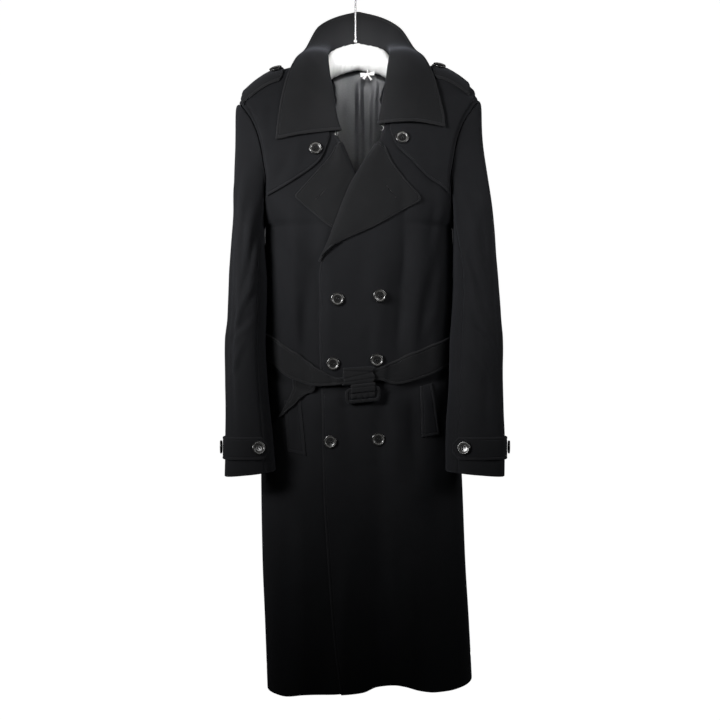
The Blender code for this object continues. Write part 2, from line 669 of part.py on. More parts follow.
def buckle():
    """The belt's turn round itself, and below it the cloth-covered buckle that holds its end."""
    level = front_y(6.0, -756.0, DOUBLE_WOOL + BELT_GAP + 5.5)
    wrap = ((-1.5, -741), (2.5, -739.8), (5.2, -743), (5.6, -750), (6.4, -757), (6.8, -763), (5.8, -768.4),
            (2.8, -771), (-0.5, -771.8))
    rows = []
    for out, z in wrap:
        across = np.linspace(-22, 33, 5)
        rows.append([(x, level - out - 2.1 + 0.02 * abs(x - 6), z + 0.06 * (x - 6)) for x in across])
    shell("belt_wrap", rows, DOUBLE_WOOL - 0.4, "wool")
    turn_down = ((10.8, -768.9), (10.9, -774), (10.7, -780), (10.3, -783.6), (8.4, -787), (7.6, -791),
                 (7.0, -795.2))
    plate = []
    for out, z in turn_down:
        plate.append([(x, level - out, z + 0.1 * (x - 12)) for x in np.linspace(-6, 34, 5)])
    shell("belt_turn", plate, DOUBLE_WOOL - 0.8, "wool")
    frame = bpy.data.curves.new("buckle", "CURVE")
    frame.dimensions = "3D"
    frame.bevel_depth = 3.4 * MM
    frame.bevel_resolution = 1
    corners = []
    for cx, cz, start in ((36.5, -794.5, -90), (36.5, -783.5, 0), (-9.5, -783.5, 90), (-9.5, -794.5, 180)):
        for angle in (0, 30, 60, 90):
            turn = math.radians(start + angle)
            corners.append((cx + 5 * math.cos(turn), cz + 5 * math.sin(turn)))
    line = frame.splines.new("POLY")
    line.points.add(len(corners) - 1)
    line.use_cyclic_u = True
    for point, (x, z) in zip(line.points, corners):
        point.co = (x * MM, (level - 4.2) * MM, (z + 0.1 * (x - 12)) * MM, 1)
    add_object("buckle", frame, "wool")


def patch(name, corners, out, thickness, rows=5, columns=3):
    """A small flat piece on the front, between four corners in x and z."""
    a, b, c, d = [np.array(p, float) for p in corners]
    grid = []
    for v in np.linspace(0, 1, rows):
        left, right = a + (b - a) * v, d + (c - d) * v
        points = np.array([left + (right - left) * u for u in np.linspace(0, 1, columns)])
        lap = front_out_smooth(points[:, 0], points[:, 1])
        grid.append(on_body(points[:, 0], points[:, 1], -1, out + lap))
    return shell(name, grid, thickness, "wool")


def pockets():
    patch("pocket_welt_left", ((115.5, -776), (118, -866), (150, -862), (137, -770)), WOOL + 1.0, WOOL)
    patch("pocket_welt_right", ((-128, -800), (-120, -892), (-87, -898), (-97, -800)), WOOL + 1.0, WOOL)


def button(name, place, normal):
    """A turned button with a raised rim."""
    mesh = bpy.data.meshes.new(name)
    work = bmesh.new()
    profile = BUTTON_PROFILE + ((0.0, BUTTON_PROFILE[-1][1]),)
    points = [work.verts.new((r * MM, 0, h * MM)) for r, h in reversed(profile)]
    for a, b in zip(points, points[1:]):
        work.edges.new((a, b))
    work.to_mesh(mesh)
    work.free()
    obj = add_object(name, mesh, "horn")
    turn = obj.modifiers.new("turn", "SCREW")
    turn.steps = 10
    turn.render_steps = 10
    turn.use_merge_vertices = True
    turn.merge_threshold = 0.00005
    turn.use_normal_calculate = True
    obj.location = Vector(place) * MM
    obj.rotation_mode = "QUATERNION"
    obj.rotation_quaternion = Vector(normal).to_track_quat("Z", "Y")
    return obj


def button_on(name, surface, out):
    inside, outside = np.array(surface(0.0)), np.array(surface(out))
    normal = unit(outside - inside)
    button(name, outside, normal)


def buttons():
    for i, (x, z) in enumerate(FRONT_BUTTONS):
        word = ("top", "waist", "low")[i // 2] + ("_right" if i % 2 == 0 else "_left")
        lift = float(front_out_smooth(x, z))
        above = 1.1 if i < 4 else 0.3
        button_on(f"button_{word}", lambda out, x=x, z=z, lift=lift: on_body(x, z, -1, lift + out), above)
    for (x, z), word in zip(STORM_BUTTONS, ("right", "left")):
        lift = float(over_out(x, z)) if x > 0 else 0.0
        above = WOOL + LAYER_GAP + (1.9 if x < 0 else 2.4)
        button_on(f"button_storm_{word}",
                  lambda out, x=x, z=z, lift=lift: on_body(x, z, -1, lift + out), above)
    for x, word in ((-143.6, "right"), (152.0, "left")):
        above = 2 * WOOL + 2 * LAYER_GAP + 2.1
        button_on(f"button_shoulder_{word}", lambda out, x=x: body_point(x, 17.0, -1, out), above)
    for side, word in ((1, "left"), (-1, "right")):
        for turn, place in ((math.radians(112), "front"), (math.radians(4), "side")):
            share = sleeve_share(side, turn, -882.0)
            above = LAYER_GAP + WOOL + 1.5
            button_on(f"button_cuff_{word}_{place}",
                      lambda out, t=turn, s=share, side=side: on_sleeve(side, t, s, out), above)


def hanger():
    half = (0.12, 0.24, 0.32, 0.4, 0.53, 0.7, 0.85, 0.94, 0.98, 1)
    rings = []
    for x in [-h for h in half[::-1]] + [0, *half]:
        rounded = math.sqrt(max(0, 1 - max(0, (abs(x) - 0.9) / 0.1) ** 2)) if abs(x) < 1 else 0.18
        place = CENTRE_X + x * PAD_HALF_LENGTH
        top = smooth(PAD_TOP, abs(place - CENTRE_X)) + LEAN * (place - CENTRE_X)
        middle = top - PAD_HALF_HEIGHT
        ring = []
        for step in range(PAD_SIDES):
            turn = 2 * math.pi * step / PAD_SIDES
            y = PAD_HALF_DEPTH * rounded * math.cos(turn)
            ring.append((place, y, middle + PAD_HALF_HEIGHT * rounded * math.sin(turn)))
        rings.append(ring)
    mesh = bpy.data.meshes.new("hanger_pad")
    work = bmesh.new()
    points = [[work.verts.new(np.array(p) * MM) for p in ring] for ring in rings]
    for a, b in zip(points, points[1:]):
        for j in range(PAD_SIDES):
            k = (j + 1) % PAD_SIDES
            work.faces.new((a[j], a[k], b[k], b[j]))
    work.faces.new(points[0][::-1])
    work.faces.new(points[-1])
    work.to_mesh(mesh)
    work.free()
    mesh.shade_smooth()
    add_object("hanger_pad", mesh, "satin")


def wire(name, points, radius, material_name, resolution=2):
    curve = bpy.data.curves.new(name, "CURVE")
    curve.dimensions = "3D"
    curve.bevel_depth = radius * MM
    curve.bevel_resolution = resolution
    curve.use_fill_caps = True
    line = curve.splines.new("POLY")
    line.points.add(len(points) - 1)
    for point, place in zip(line.points, points):
        point.co = (*(np.array(place) * MM), 1)
    return add_object(name, curve, material_name)


def hook():
    radius = HOOK_RADIUS
    middle = WIRE / 2 - radius
    foot = PAD_TOP[0, 1] - 0.2
    points = [(0, 0, z) for z in (foot, -120, -100, -80, -64)]
    points += [(1.0, 0, -59), (4.0, 0, -53)]
    for angle in range(-58, 200, 18):
        turn = math.radians(angle)
        points.append((radius * math.cos(turn), 0, middle + radius * math.sin(turn)))
    wire("hanger_hook", points, WIRE / 2, "wire")


def bow():
    """A small ribbon bow tied under the pad."""
    points = []
    for turn in np.linspace(0.3, 2 * math.pi - 0.3, 14):
        size = 9.5 * math.sin(turn)
        points.append((22 - 10 * math.cos(turn), -9 - 1.4 * math.cos(turn / 2), -200.8 + size * 0.62))
    wire("ribbon_bow", points, 1.4, "satin", 1)


def main():
    clear_scene()
    body()
    back_lining()
    sleeves()
    lapel("lapel_left", OVER_EDGE, OVER_LAPEL, 1, over_out)
    lapel("lapel_right", UNDER_EDGE, UNDER_LAPEL, -1, no_out)
    collar()
    storm_flap("storm_flap_left", STORM_LEFT, 1)
    storm_flap("storm_flap_right", STORM_RIGHT, -1)
    epaulette("epaulette_left", 1)
    epaulette("epaulette_right", -1)
    cuff_strap("cuff_strap_left", 1)
    cuff_strap("cuff_strap_right", -1)
    belt()
    buckle()
    pockets()
    buttons()
    hanger()
    hook()
    bow()


main()
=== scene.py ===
"""Looks of the greatcoat: cloth pieces with their seams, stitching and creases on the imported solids.

Lengths in the tables are millimetres, in the frame of the CAD, and the meshes are made in metres.
"""

import math

import bpy
import bmesh
import numpy as np
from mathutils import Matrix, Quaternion, Vector


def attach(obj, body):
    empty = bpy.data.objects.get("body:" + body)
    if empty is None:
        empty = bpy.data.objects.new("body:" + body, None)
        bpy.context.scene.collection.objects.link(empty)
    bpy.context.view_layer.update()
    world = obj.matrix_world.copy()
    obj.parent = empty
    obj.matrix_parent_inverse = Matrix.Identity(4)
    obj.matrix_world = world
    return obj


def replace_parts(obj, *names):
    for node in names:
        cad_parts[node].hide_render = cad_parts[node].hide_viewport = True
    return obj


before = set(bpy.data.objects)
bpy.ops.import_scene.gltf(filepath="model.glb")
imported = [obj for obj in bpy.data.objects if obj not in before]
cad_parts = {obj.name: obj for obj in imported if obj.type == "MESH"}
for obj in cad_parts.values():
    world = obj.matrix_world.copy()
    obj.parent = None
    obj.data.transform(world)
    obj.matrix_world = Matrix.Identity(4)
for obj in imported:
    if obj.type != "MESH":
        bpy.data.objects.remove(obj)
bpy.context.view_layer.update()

MM = 0.001

# Thickness of each cloth, and the spaces left between pieces
WOOL = 2.6
DOUBLE_WOOL = 3.4
LINING = 1.0
SEAM_GAP = 0.08
LAYER_GAP = 0.8

# The body: its middle, the tilt of the shoulders, the underarm, and the roundness of its sections
CENTRE_X = 5.0
LEAN = 0.018
UNDERARM_Z = -483.0
TIP_Z = -250.0
TIP_HALF_WIDTH = 221
ARMHOLE_HALF_DEPTH = 60.0
TIP_HALF_DEPTH = 25.0
SECTION_POWER = 2.3
SHOULDER_ROUND = 32.0
HEM_Z = -1318.0

# Level sections of the body: z, then the columns named here
MIDDLE_X, HALF_WIDTH, FRONT_DEPTH, BACK_DEPTH = 1, 2, 3, 4
BODY = np.array([
    (-140, 5.0, 222, 32, 32), (-175, 5.0, 222, 34, 33), (-210, 5.0, 222, 41, 37), (-250, 5.0, 221, 51, 42),
    (-268, 5.0, 210, 56, 45), (-293, 5.0, 193, 64, 50), (-330, 5.0, 179, 75, 57), (-371, 5.0, 171, 83, 62),
    (-400, 5.0, 167, 87, 66), (-483, 6.0, 171.5, 95, 71), (-560, 6.5, 173, 98, 72),
    (-650, 6.5, 172.5, 96, 68), (-730, 6.0, 171.5, 92, 64), (-800, 7.0, 173, 96, 73),
    (-870, 9.0, 177, 101, 82), (-930, 10.8, 185, 105, 88), (-1098, 15.6, 187, 114, 98),
    (-1204, 21.0, 188, 119, 104), (-1340, 27.0, 189, 124, 110)])

# Height by distance from the middle: of the shoulders' ridge, and of the neckline and the seam
RIDGE = np.array([
    (0, -142), (30, -145), (55, -156), (75, -176), (126, -190), (155, -197), (178, -209.5),
    (204, -231), (221, -250)])
NECK_TOP = np.array([
    (0, -171), (40, -172), (75, -176), (126, -190), (155, -197), (178, -209.5), (204, -231),
    (221, -250)])

# Soft folds: x and z at the top, x and z at the foot, half width, depth
FRONT_FOLDS = (
    (92, -400, 74, -730, 22, -7),
    (133, -450, 128, -720, 20, 5),
    (-70, -500, -88, -730, 24, -6),
    (-118, -480, -120, -720, 20, 4),
    (-40, -900, -62, -1400, 34, -6),
    (20, -800, 60, -1400, 42, -8),
    (95, -820, 118, -1400, 36, 8),
    (-110, -850, -118, -1400, 30, 6),
)
BACK_FOLDS = (
    (-70, -520, -95, -1400, 40, -9),
    (-10, -600, -20, -1400, 34, 8),
    (55, -540, 75, -1400, 40, -9),
    (125, -640, 140, -1400, 30, 6),
    (-125, -640, -135, -1400, 28, 6),
)

# Creases placed on those folds: z and x at the top, z and x at the foot, half width, depth
FRONT_CREASES = (
    (-505, 88, -750, 78, 12, -5.2), (-455, -76, -755, -70, 13, -5.0), (-450, -112, -745, -106, 13, 4.2),
    (-540, 140, -740, 124, 10, -4.4), (-560, 112, -735, 104, 9, 2.8), (-520, 44, -740, 42, 20, 2.2),
    (-765, -96, -980, -102, 15, -3.4), (-765, 42, -940, 44, 12, -3.0), (-768, 70, -950, 74, 12, 2.6),
    (-768, 98, -960, 104, 12, -2.6), (-770, -40, -960, -36, 18, 2.2), (-950, -110, -1318, -118, 20, -3.2),
    (-960, 118, -1318, 128, 20, 3.0), (-980, 34, -1318, 40, 22, -3.0), (-960, 70, -1300, 76, 18, 2.4),
    (-385, 88, -600, 80, 9, -2.2), (-395, 113, -560, 108, 11, 2.0), (-400, 140, -540, 134, 8, -1.8),
    (-560, 66, -715, 52, 10, -1.6), (-590, 122, -715, 108, 8, -1.9), (-640, 94, -722, 84, 7, 1.7),
    (-645, 140, -690, 118, 8, 1.6), (-470, 20, -660, 8, 16, -1.0), (-640, 28, -728, 26, 9, -1.2),
    (-500, -140, -590, -98, 10, -2.0), (-520, -146, -660, -118, 9, 1.9), (-560, -84, -712, -92, 8, -2.2),
    (-600, -104, -720, -108, 7, 1.9), (-640, -128, -705, -136, 7, -1.7), (-470, -60, -610, -76, 12, 1.2),
    (-772, -20, -905, -14, 11, -1.4), (-770, 52, -900, 60, 10, -2.0), (-774, 84, -930, 96, 9, 2.0),
    (-768, 108, -880, 118, 8, -1.8), (-745, 140, -850, 150, 9, 1.8), (-778, -72, -880, -78, 8, 1.9),
    (-772, -98, -900, -106, 9, -2.1), (-750, -132, -850, -142, 8, 1.8), (-905, 22, -1230, 30, 17, 1.9),
    (-950, -78, -1290, -86, 15, -2.0), (-980, 76, -1310, 88, 14, -2.2), (-1010, 150, -1312, 160, 12, 1.7),
    (-900, -138, -1300, -146, 13, 1.8), (-1080, -18, -1318, -22, 12, 1.5), (-1120, 48, -1305, 52, 11, 1.6),
    (-345, -120, -425, -142, 12, -1.4), (-300, 120, -410, 140, 12, -1.4), (-285, -96, -400, -112, 10, 1.0),
    (-255, 176, -330, 166, 10, 1.3), (-262, -172, -345, -158, 9, 1.2), (-440, 150, -500, 132, 9, -1.6),
)
BACK_CREASES = (
    (-430, 66, -700, 58, 14, -3.6), (-440, -72, -700, -64, 14, -3.4), (-470, 112, -700, 104, 12, 2.8),
    (-480, -116, -700, -108, 12, 2.6), (-735, -90, -1000, -98, 16, -3.4), (-735, 54, -990, 58, 15, -3.2),
    (-735, 10, -1000, 12, 16, 2.6), (-960, -60, -1318, -66, 22, -3.0), (-960, 86, -1318, 94, 22, 3.0),
    (-230, -170, -330, -150, 10, 1.4), (-240, 176, -345, 158, 9, 1.3), (-300, -60, -470, -72, 14, -1.3),
    (-290, 70, -450, 84, 13, -1.4), (-420, -148, -520, -110, 10, -2.0), (-430, 154, -530, 118, 10, -1.9),
    (-480, -150, -600, -128, 9, 1.8), (-500, 158, -620, 132, 8, 1.8), (-500, 4, -670, 2, 14, -1.1),
    (-560, -52, -672, -46, 8, 1.9), (-575, -96, -675, -92, 8, -1.9), (-570, 36, -672, 40, 8, -1.8),
    (-585, 88, -676, 82, 8, 1.8), (-600, 122, -676, 116, 7, -1.6), (-735, -110, -900, -122, 9, 1.9),
    (-736, -64, -960, -78, 10, -2.2), (-734, -18, -900, -22, 8, 1.9), (-736, 30, -930, 36, 9, -2.0),
    (-735, 72, -980, 86, 10, 2.0), (-738, 122, -890, 134, 8, -1.8), (-860, -146, -1290, -156, 13, -1.9),
    (-940, 8, -1310, 12, 15, -1.8), (-1000, -44, -1320, -50, 12, 1.8), (-1010, 110, -1310, 124, 14, -2.0),
    (-960, 168, -1300, 178, 12, 1.6), (-1080, 54, -1318, 60, 12, 1.6), (-1060, -110, -1318, -116, 12, 1.7),
)

# Inner edge of each front: z, x. The wearer's left front laps over the right one.
OVER_EDGE = np.array([
    (-176, 80), (-200, 77), (-240, 69), (-275, 60), (-306, 50), (-335, 42), (-383, 14), (-419, -6.5),
    (-484, -32), (-530, -48.5), (-556, -58.5), (-580, -61.5), (-730, -62.9), (-782, -60.4),
    (-904, -58), (-976, -56.3), (-1054, -51.5), (-1185, -41.6), (-1284, -30), (-1340, -21)])
UNDER_EDGE = np.array([
    (-176, -70), (-200, -67), (-240, -59), (-280, -48), (-315, -36), (-334, -28.5), (-368, -14.7),
    (-389, -5.7), (-542, 58.5), (-565, 70), (-600, 72), (-1000, 77), (-1340, 82)])

# Hem: x, z
OVER_HEM = np.array([
    (-30, -1319.5), (14, -1314), (38, -1305), (71, -1302), (88, -1304), (114, -1311), (145, -1317),
    (169, -1318), (196, -1316), (217, -1312)])
UNDER_HEM = np.array([
    (-165, -1330), (-135, -1330), (-92, -1323), (-43, -1320), (-22, -1317), (0, -1308), (104, -1296)])
BACK_HEM = np.array([(-165, -1330), (-60, -1324), (20, -1326), (100, -1318), (217, -1312)])
HEM_SHARPNESS = 4
HEM_STITCH_AT = 44

# Sleeves: z, outer x, inner x for each side, then middle y and half depth for both
SLEEVES = np.array([
    (-240, -219, -164, 228, 171, 0, 70), (-320, -221.5, -163, 236, 171, -2, 74),
    (-400, -223, -162.5, 245, 171, -6, 76), (-463, -224, -163, 253, 171, -12, 76),
    (-530, -227, -161, 257, 175, -20, 74), (-588, -229, -161, 261, 178, -27, 72),
    (-651, -231, -162.8, 264.5, 175, -36, 69), (-690, -235, -163.7, 267, 171.5, -43, 67),
    (-772, -233.5, -158.5, 266, 168.7, -60, 61), (-862, -232.5, -148, 267, 161.5, -83, 54),
    (-940, -231.8, -140, 264.6, 160.5, -100, 50)])
SLEEVE_POWER = 2.2
CUFF_Z = -928.5
CUFF_TILT = 5.0
SLEEVE_SEAM = math.radians(128)

# How a sleeve leaves its armhole: how far out its line starts and then steps, how deep its head tucks in at
# the shoulder's tip and how far it swells after that, over which shares of its length, and the share where
# the armhole's shape has passed into the sleeve's
ARMHOLE_STAND = 0.9
ARMHOLE_EASE = 2.2
HEAD_TUCK = 1.8
HEAD_SWELL = 3.6
TUCK_SHARE = 0.004
SWELL_SHARE = 0.012
TUBE_SHARE = 0.24

# Creases of the sleeves: z and turn in degrees at one end, the same at the other, half width, depth
LEFT_ARM_CREASES = (
    (-300, 30, -520, 46, 9, 1.6), (-330, 74, -600, 66, 10, -1.8), (-420, 100, -560, 84, 8, 1.6),
    (-520, 118, -640, 70, 8, -2.0), (-600, 112, -690, 58, 7, 1.9), (-655, 108, -720, 40, 7, -2.0),
    (-700, 104, -770, 54, 7, 1.6), (-560, 20, -800, 34, 9, 1.5), (-740, 70, -850, 78, 8, -1.5),
    (-420, -40, -700, -52, 10, -1.8), (-640, -110, -720, -50, 8, 1.8), (-320, -80, -520, -90, 9, 1.5),
    (-760, -30, -856, -40, 8, 1.3), (-690, -118, -760, -60, 7, -1.6),
)
RIGHT_ARM_CREASES = (
    (-290, 40, -500, 34, 9, 1.5), (-310, 82, -590, 76, 10, -1.9), (-430, 104, -540, 90, 8, 1.5),
    (-500, 116, -620, 74, 8, -1.9), (-585, 114, -670, 62, 7, 1.9), (-640, 110, -705, 44, 7, -2.1),
    (-690, 100, -755, 50, 7, 1.7), (-480, 22, -840, 28, 8, 1.7), (-560, 52, -850, 60, 9, -1.7),
    (-400, -36, -680, -46, 10, -1.7), (-620, -108, -700, -48, 8, 1.8), (-330, -84, -510, -92, 9, 1.4),
    (-740, -34, -850, -30, 8, 1.4), (-700, -116, -780, -66, 7, -1.6),
)

# Lapels, from the gorge to the break: height on the roll line, x and z of the free edge
OVER_LAPEL = np.array([
    (-338, 54, -347), (-352, 60, -362), (-375, 68.5, -378.6), (-397, 91.2, -408),
    (-418, 111.6, -430.6), (-430, 115, -440), (-442, 109.3, -446), (-462, 79.9, -462.4),
    (-492, 34.6, -489.3), (-518, -10.7, -510.2), (-536, -37, -523), (-552, -54, -537)])
UNDER_LAPEL = np.array([
    (-337, -37, -345), (-349, -44, -360), (-366, -56.1, -375.3), (-386, -78.9, -400.2),
    (-408, -101.5, -425.3), (-418, -107.5, -433), (-430, -103.8, -439.5), (-450, -78.9, -461.6),
    (-474, -46, -488.7), (-500, -6, -508), (-520, 28, -522), (-536, 46, -529)])
LAPEL_LIFT = 4.0
LAPEL_ROLL_DEGREES = 62
LAPEL_SMOOTHING = 60

# Collar: k from the middle of the back, 0, to the front end, 1, then x, y, z of the seam, the roll, the
# middle of the fall and the free edge
COLLAR_LEFT = np.array([
    (0.00, 5, 26.5, -169, 5, 46, -133, 5, 62, -98, 5, 76, -63),
    (0.18, -30, 25.5, -170, -27, 43, -135, -33, 58, -102, -33, 72, -73),
    (0.34, -60, 20, -171, -46, 30, -144, -58, 42, -118, -70, 52, -97),
    (0.48, -67, 2, -171, -50, 8, -152, -76, 16, -143, -96, 22, -148),
    (0.60, -64, -28, -189, -50, -28, -169, -83, -25, -163, -111.5, -21, -174),
    (0.72, -59, -40, -216, -47, -47, -202, -90, -55, -200, -127, -50, -217),
    (0.86, -48, -49, -258, -41, -68, -246, -92, -71, -252, -137, -62, -264),
    (0.95, -38, -60, -298, -35, -79, -293, -92, -77, -301, -142, -73, -308),
    (1.00, -31, -66, -316, -28, -80, -315, -90, -84, -321, -143.5, -81, -331)])
COLLAR_RIGHT = np.array([
    (0.00, 5, 26.5, -169, 5, 46, -133, 5, 62, -98, 5, 76, -63),
    (0.18, 40, 25.5, -169, 37, 43, -135, 46, 58, -103, 48, 71, -75),
    (0.34, 70, 20, -169, 57, 30, -143, 70, 42, -119, 84, 50, -100),
    (0.48, 77, 2, -169, 62, 8, -150, 88, 16, -142, 112, 20, -147),
    (0.60, 74, -28, -186, 62, -28, -166, 97, -25, -161, 128.5, -21, -172),
    (0.72, 70, -40, -211, 59, -47, -196, 104, -55, -196, 144, -50, -212),
    (0.86, 61, -49, -248, 54, -68, -238, 108, -71, -240, 154, -62, -254),
    (0.95, 52, -58, -286, 47, -77, -281, 110, -75, -281, 161, -71, -288),
    (1.00, 46, -64, -305, 43, -79, -303, 108, -81, -299, 162, -78, -308)])

# Creases of the collar: distance from its right end and from its seam, twice, half width, depth
COLLAR_CREASES = (
    (120, 40, 210, 96, 10, 0.9), (520, 50, 610, 100, 12, -0.9), (60, 60, 150, 110, 9, -0.7),
    (640, 60, 560, 116, 9, 0.8))

# Free edge of each storm flap, from the armhole to the neck: x, z. Its inner edge: z, x.
STORM_RIGHT = np.array([(-157, -431), (-135, -420), (-113.5, -407.6), (-79.4, -384.9), (-61.1, -366.6),
                        (-49.7, -339.3), (-47, -326)])
STORM_LEFT = np.array([(166, -426), (149, -412), (126.1, -398.5), (96.4, -368), (76, -348.4),
                       (67.9, -332.3), (62, -316)])
STORM_INNER = np.array([(-500, 47), (-300, 48), (-240, 62), (-176, 80)])

# Belt: x, z of its upper edge and z of its lower edge on the front; the back is level
BELT_FRONT = np.array([
    (-166, -676, -722), (-150, -684, -734), (-109, -711, -762), (-63, -742, -774.5),
    (-30, -758.5, -772), (10, -752, -765), (42, -740, -764), (72, -726, -771), (121, -705, -759),
    (165, -687, -738), (176, -681, -730)])
BELT_BACK = (-679, -729)
WAIST_Z = -705.0
BELT_GAP = 2.3
BELT_TAIL = np.array([
    (0.0, -112, -750, -64, -756, 0.2), (0.25, -111, -774, -71, -778, 1), (0.5, -117, -797, -92, -794, 4.4),
    (0.75, -126, -813, -108, -807, 5), (1.0, -135, -831, -125, -826, 5.5)])

# Buttons: x, z
FRONT_BUTTONS = (
    (-31.4, -618.6), (42.1, -612.6), (-39.3, -733.5), (38.1, -727.0), (-43.2, -872.6), (41.2, -868.4))
STORM_BUTTONS = ((-70.7, -348.9, "right"), (83.6, -331.0, "left"))
SHOULDER_BUTTONS = ((-143.6, "right"), (152.0, "left"))
BUTTON_SPINS = (0.1, 0.45, -0.2, 0.3, 0.0, -0.35, 0.2, 0.5, -0.1, 0.35, 0.15, -0.3, 0.4, 0.05)

# The straps on the cuffs: z of their edges, and of the buttons on them
STRAP_TOP = -863.0
STRAP_FOOT = -903.0
CUFF_BUTTON_Z = -882.0

# Corners of each pocket's welt: x, z
POCKET_WELTS = (
    ("pocket_welt_left", ((115.5, -776), (118, -866), (150, -862), (137, -770))),
    ("pocket_welt_right", ((-128, -800), (-120, -892), (-87, -898), (-97, -800))))

# Hanger: distance from the middle and top of the pad
PAD_TOP = np.array([(0, -140.5), (12, -143), (30, -147), (50, -156), (60, -169), (72, -182.5), (90, -187),
                    (126, -193.3), (145, -197.7), (155, -201), (178, -215), (190, -226)])
PAD_HALF_HEIGHT = 26.0
PAD_HALF_DEPTH = 21.5
PAD_HALF_LENGTH = 186.0
WIRE = 3.2
HOOK_RADIUS = 24.0

# Distances from a finished edge at which a grid line runs, with the stitching on the line at 5.5; and the
# same for an edge that is sewn into a seam
STITCH_AT = 5.5
EDGE_MARKS = (0, 0.5, 1.2, 2.3, 3.6, 4.5, 5.0, 5.5, 6.0, 6.5, 7.6, 9.6)
SEAM_MARKS = (0, 0.6, 1.4, 2.6, 4.4, 7.0)

# A stitch: its length, the distance from one to the next, and its half width
STITCH_LONG = 2.5
STITCH_EVERY = 3.3
STITCH_WIDE = 0.34

# The wearer's sides
SIDES = ((1, "left"), (-1, "right"))

# Shares of a line that lie close together at its ends, where a section of the body turns fast
EASED = (1 - np.cos(np.linspace(0, math.pi, 600))) / 2


def smooth(table, x, column=1):
    """A column of a table at x, on a curve through its rows that never overshoots them."""
    rows = table[np.argsort(table[:, 0])]
    xs, ys = rows[:, 0].astype(float), rows[:, column].astype(float)
    step = np.diff(xs)
    slope = np.diff(ys) / step
    tangent = np.zeros(len(xs))
    tangent[0], tangent[-1] = slope[0], slope[-1]
    same = slope[:-1] * slope[1:] > 0
    tangent[1:-1][same] = 2 * slope[:-1][same] * slope[1:][same] / (slope[:-1] + slope[1:])[same]
    x = np.clip(np.asarray(x, float), xs[0], xs[-1])
    i = np.clip(np.searchsorted(xs, x) - 1, 0, len(xs) - 2)
    t = (x - xs[i]) / step[i]
    return (ys[i] * (2 * t**3 - 3 * t**2 + 1) + ys[i + 1] * (3 * t**2 - 2 * t**3)
            + step[i] * (tangent[i] * (t**3 - 2 * t**2 + t) + tangent[i + 1] * (t**3 - t**2)))


def smoothstep(low, high, x):
    t = np.clip((np.asarray(x, float) - low) / (high - low), 0, 1)
    return t * t * (3 - 2 * t)


def bell(x, middle, width):
    """1 at the middle, with a soft fall on both sides."""
    return np.exp(-(((x - middle) / width) ** 2))


def ridge_z(x):
    return smooth(RIDGE, np.abs(x - CENTRE_X)) + LEAN * (x - CENTRE_X)


def neck_z(x):
    return smooth(NECK_TOP, np.abs(x - CENTRE_X)) + LEAN * (x - CENTRE_X)


def level_at(x, reach):
    """Height of the cloth at a reach: round over the shoulder's ridge, then straight down."""
    quarter = SHOULDER_ROUND * math.pi / 2
    turn = np.clip(reach, 0, quarter) / SHOULDER_ROUND
    return ridge_z(x) - SHOULDER_ROUND * (1 - np.cos(turn)) - np.maximum(reach - quarter, 0)


def reach_at(x, z):
    drop = ridge_z(x) - z
    turn = np.arccos(np.clip(1 - drop / SHOULDER_ROUND, -1, 1))
    over = drop > SHOULDER_ROUND
    straight = SHOULDER_ROUND * (math.pi / 2 - 1) + drop
    return np.where(over, straight, SHOULDER_ROUND * np.minimum(turn, math.pi / 2))


def side_x(z, side):
    """The body's edge at a level: the armhole above the underarm, and the side seam below it."""
    return smooth(BODY, z, MIDDLE_X) + side * smooth(BODY, z, HALF_WIDTH)


def fold_sum(folds, x, z):
    total = 0 * x
    for x0, z0, x1, z1, width, depth in folds:
        share = (z - z0) / (z1 - z0)
        along = smoothstep(0, 0.35, share) * (1 if z1 < -1350 else 1 - smoothstep(0.75, 1.1, share))
        total = total + depth * along * bell(x - x0, (x1 - x0) * share, width)
    return total


def creases(table, down, across):
    """Height of a set of creases, each a soft ridge or furrow along a line that fades at its ends."""
    total = 0 * down
    for d0, a0, d1, a1, width, depth in table:
        length = math.hypot(d1 - d0, a1 - a0)
        share = ((down - d0) * (d1 - d0) + (across - a0) * (a1 - a0)) / length**2
        away = ((down - d0) * (a1 - a0) - (across - a0) * (d1 - d0)) / length
        away = away + 2.6 * np.sin(share * 5.1 + d0 * 0.7)
        along = smoothstep(-0.12, 0.3, share) * (1 - smoothstep(0.6, 1.12, share))
        shape = bell(away, 0, width) - 0.45 * bell(away, 1.7 * width, width)
        total = total + depth * along * shape
    return total


def ripple(down, across, phase):
    """A slight unevenness that no steamed wool is without."""
    return (0.30 * np.sin(down / 31 + 1.3 * np.sin(across / 47 + phase))
            + 0.22 * np.sin(across / 23 + 1.1 * np.sin(down / 59 + 2 * phase) + phase)
            + 0.12 * np.sin(down / 11.3 - across / 14.7 + 3 * phase))


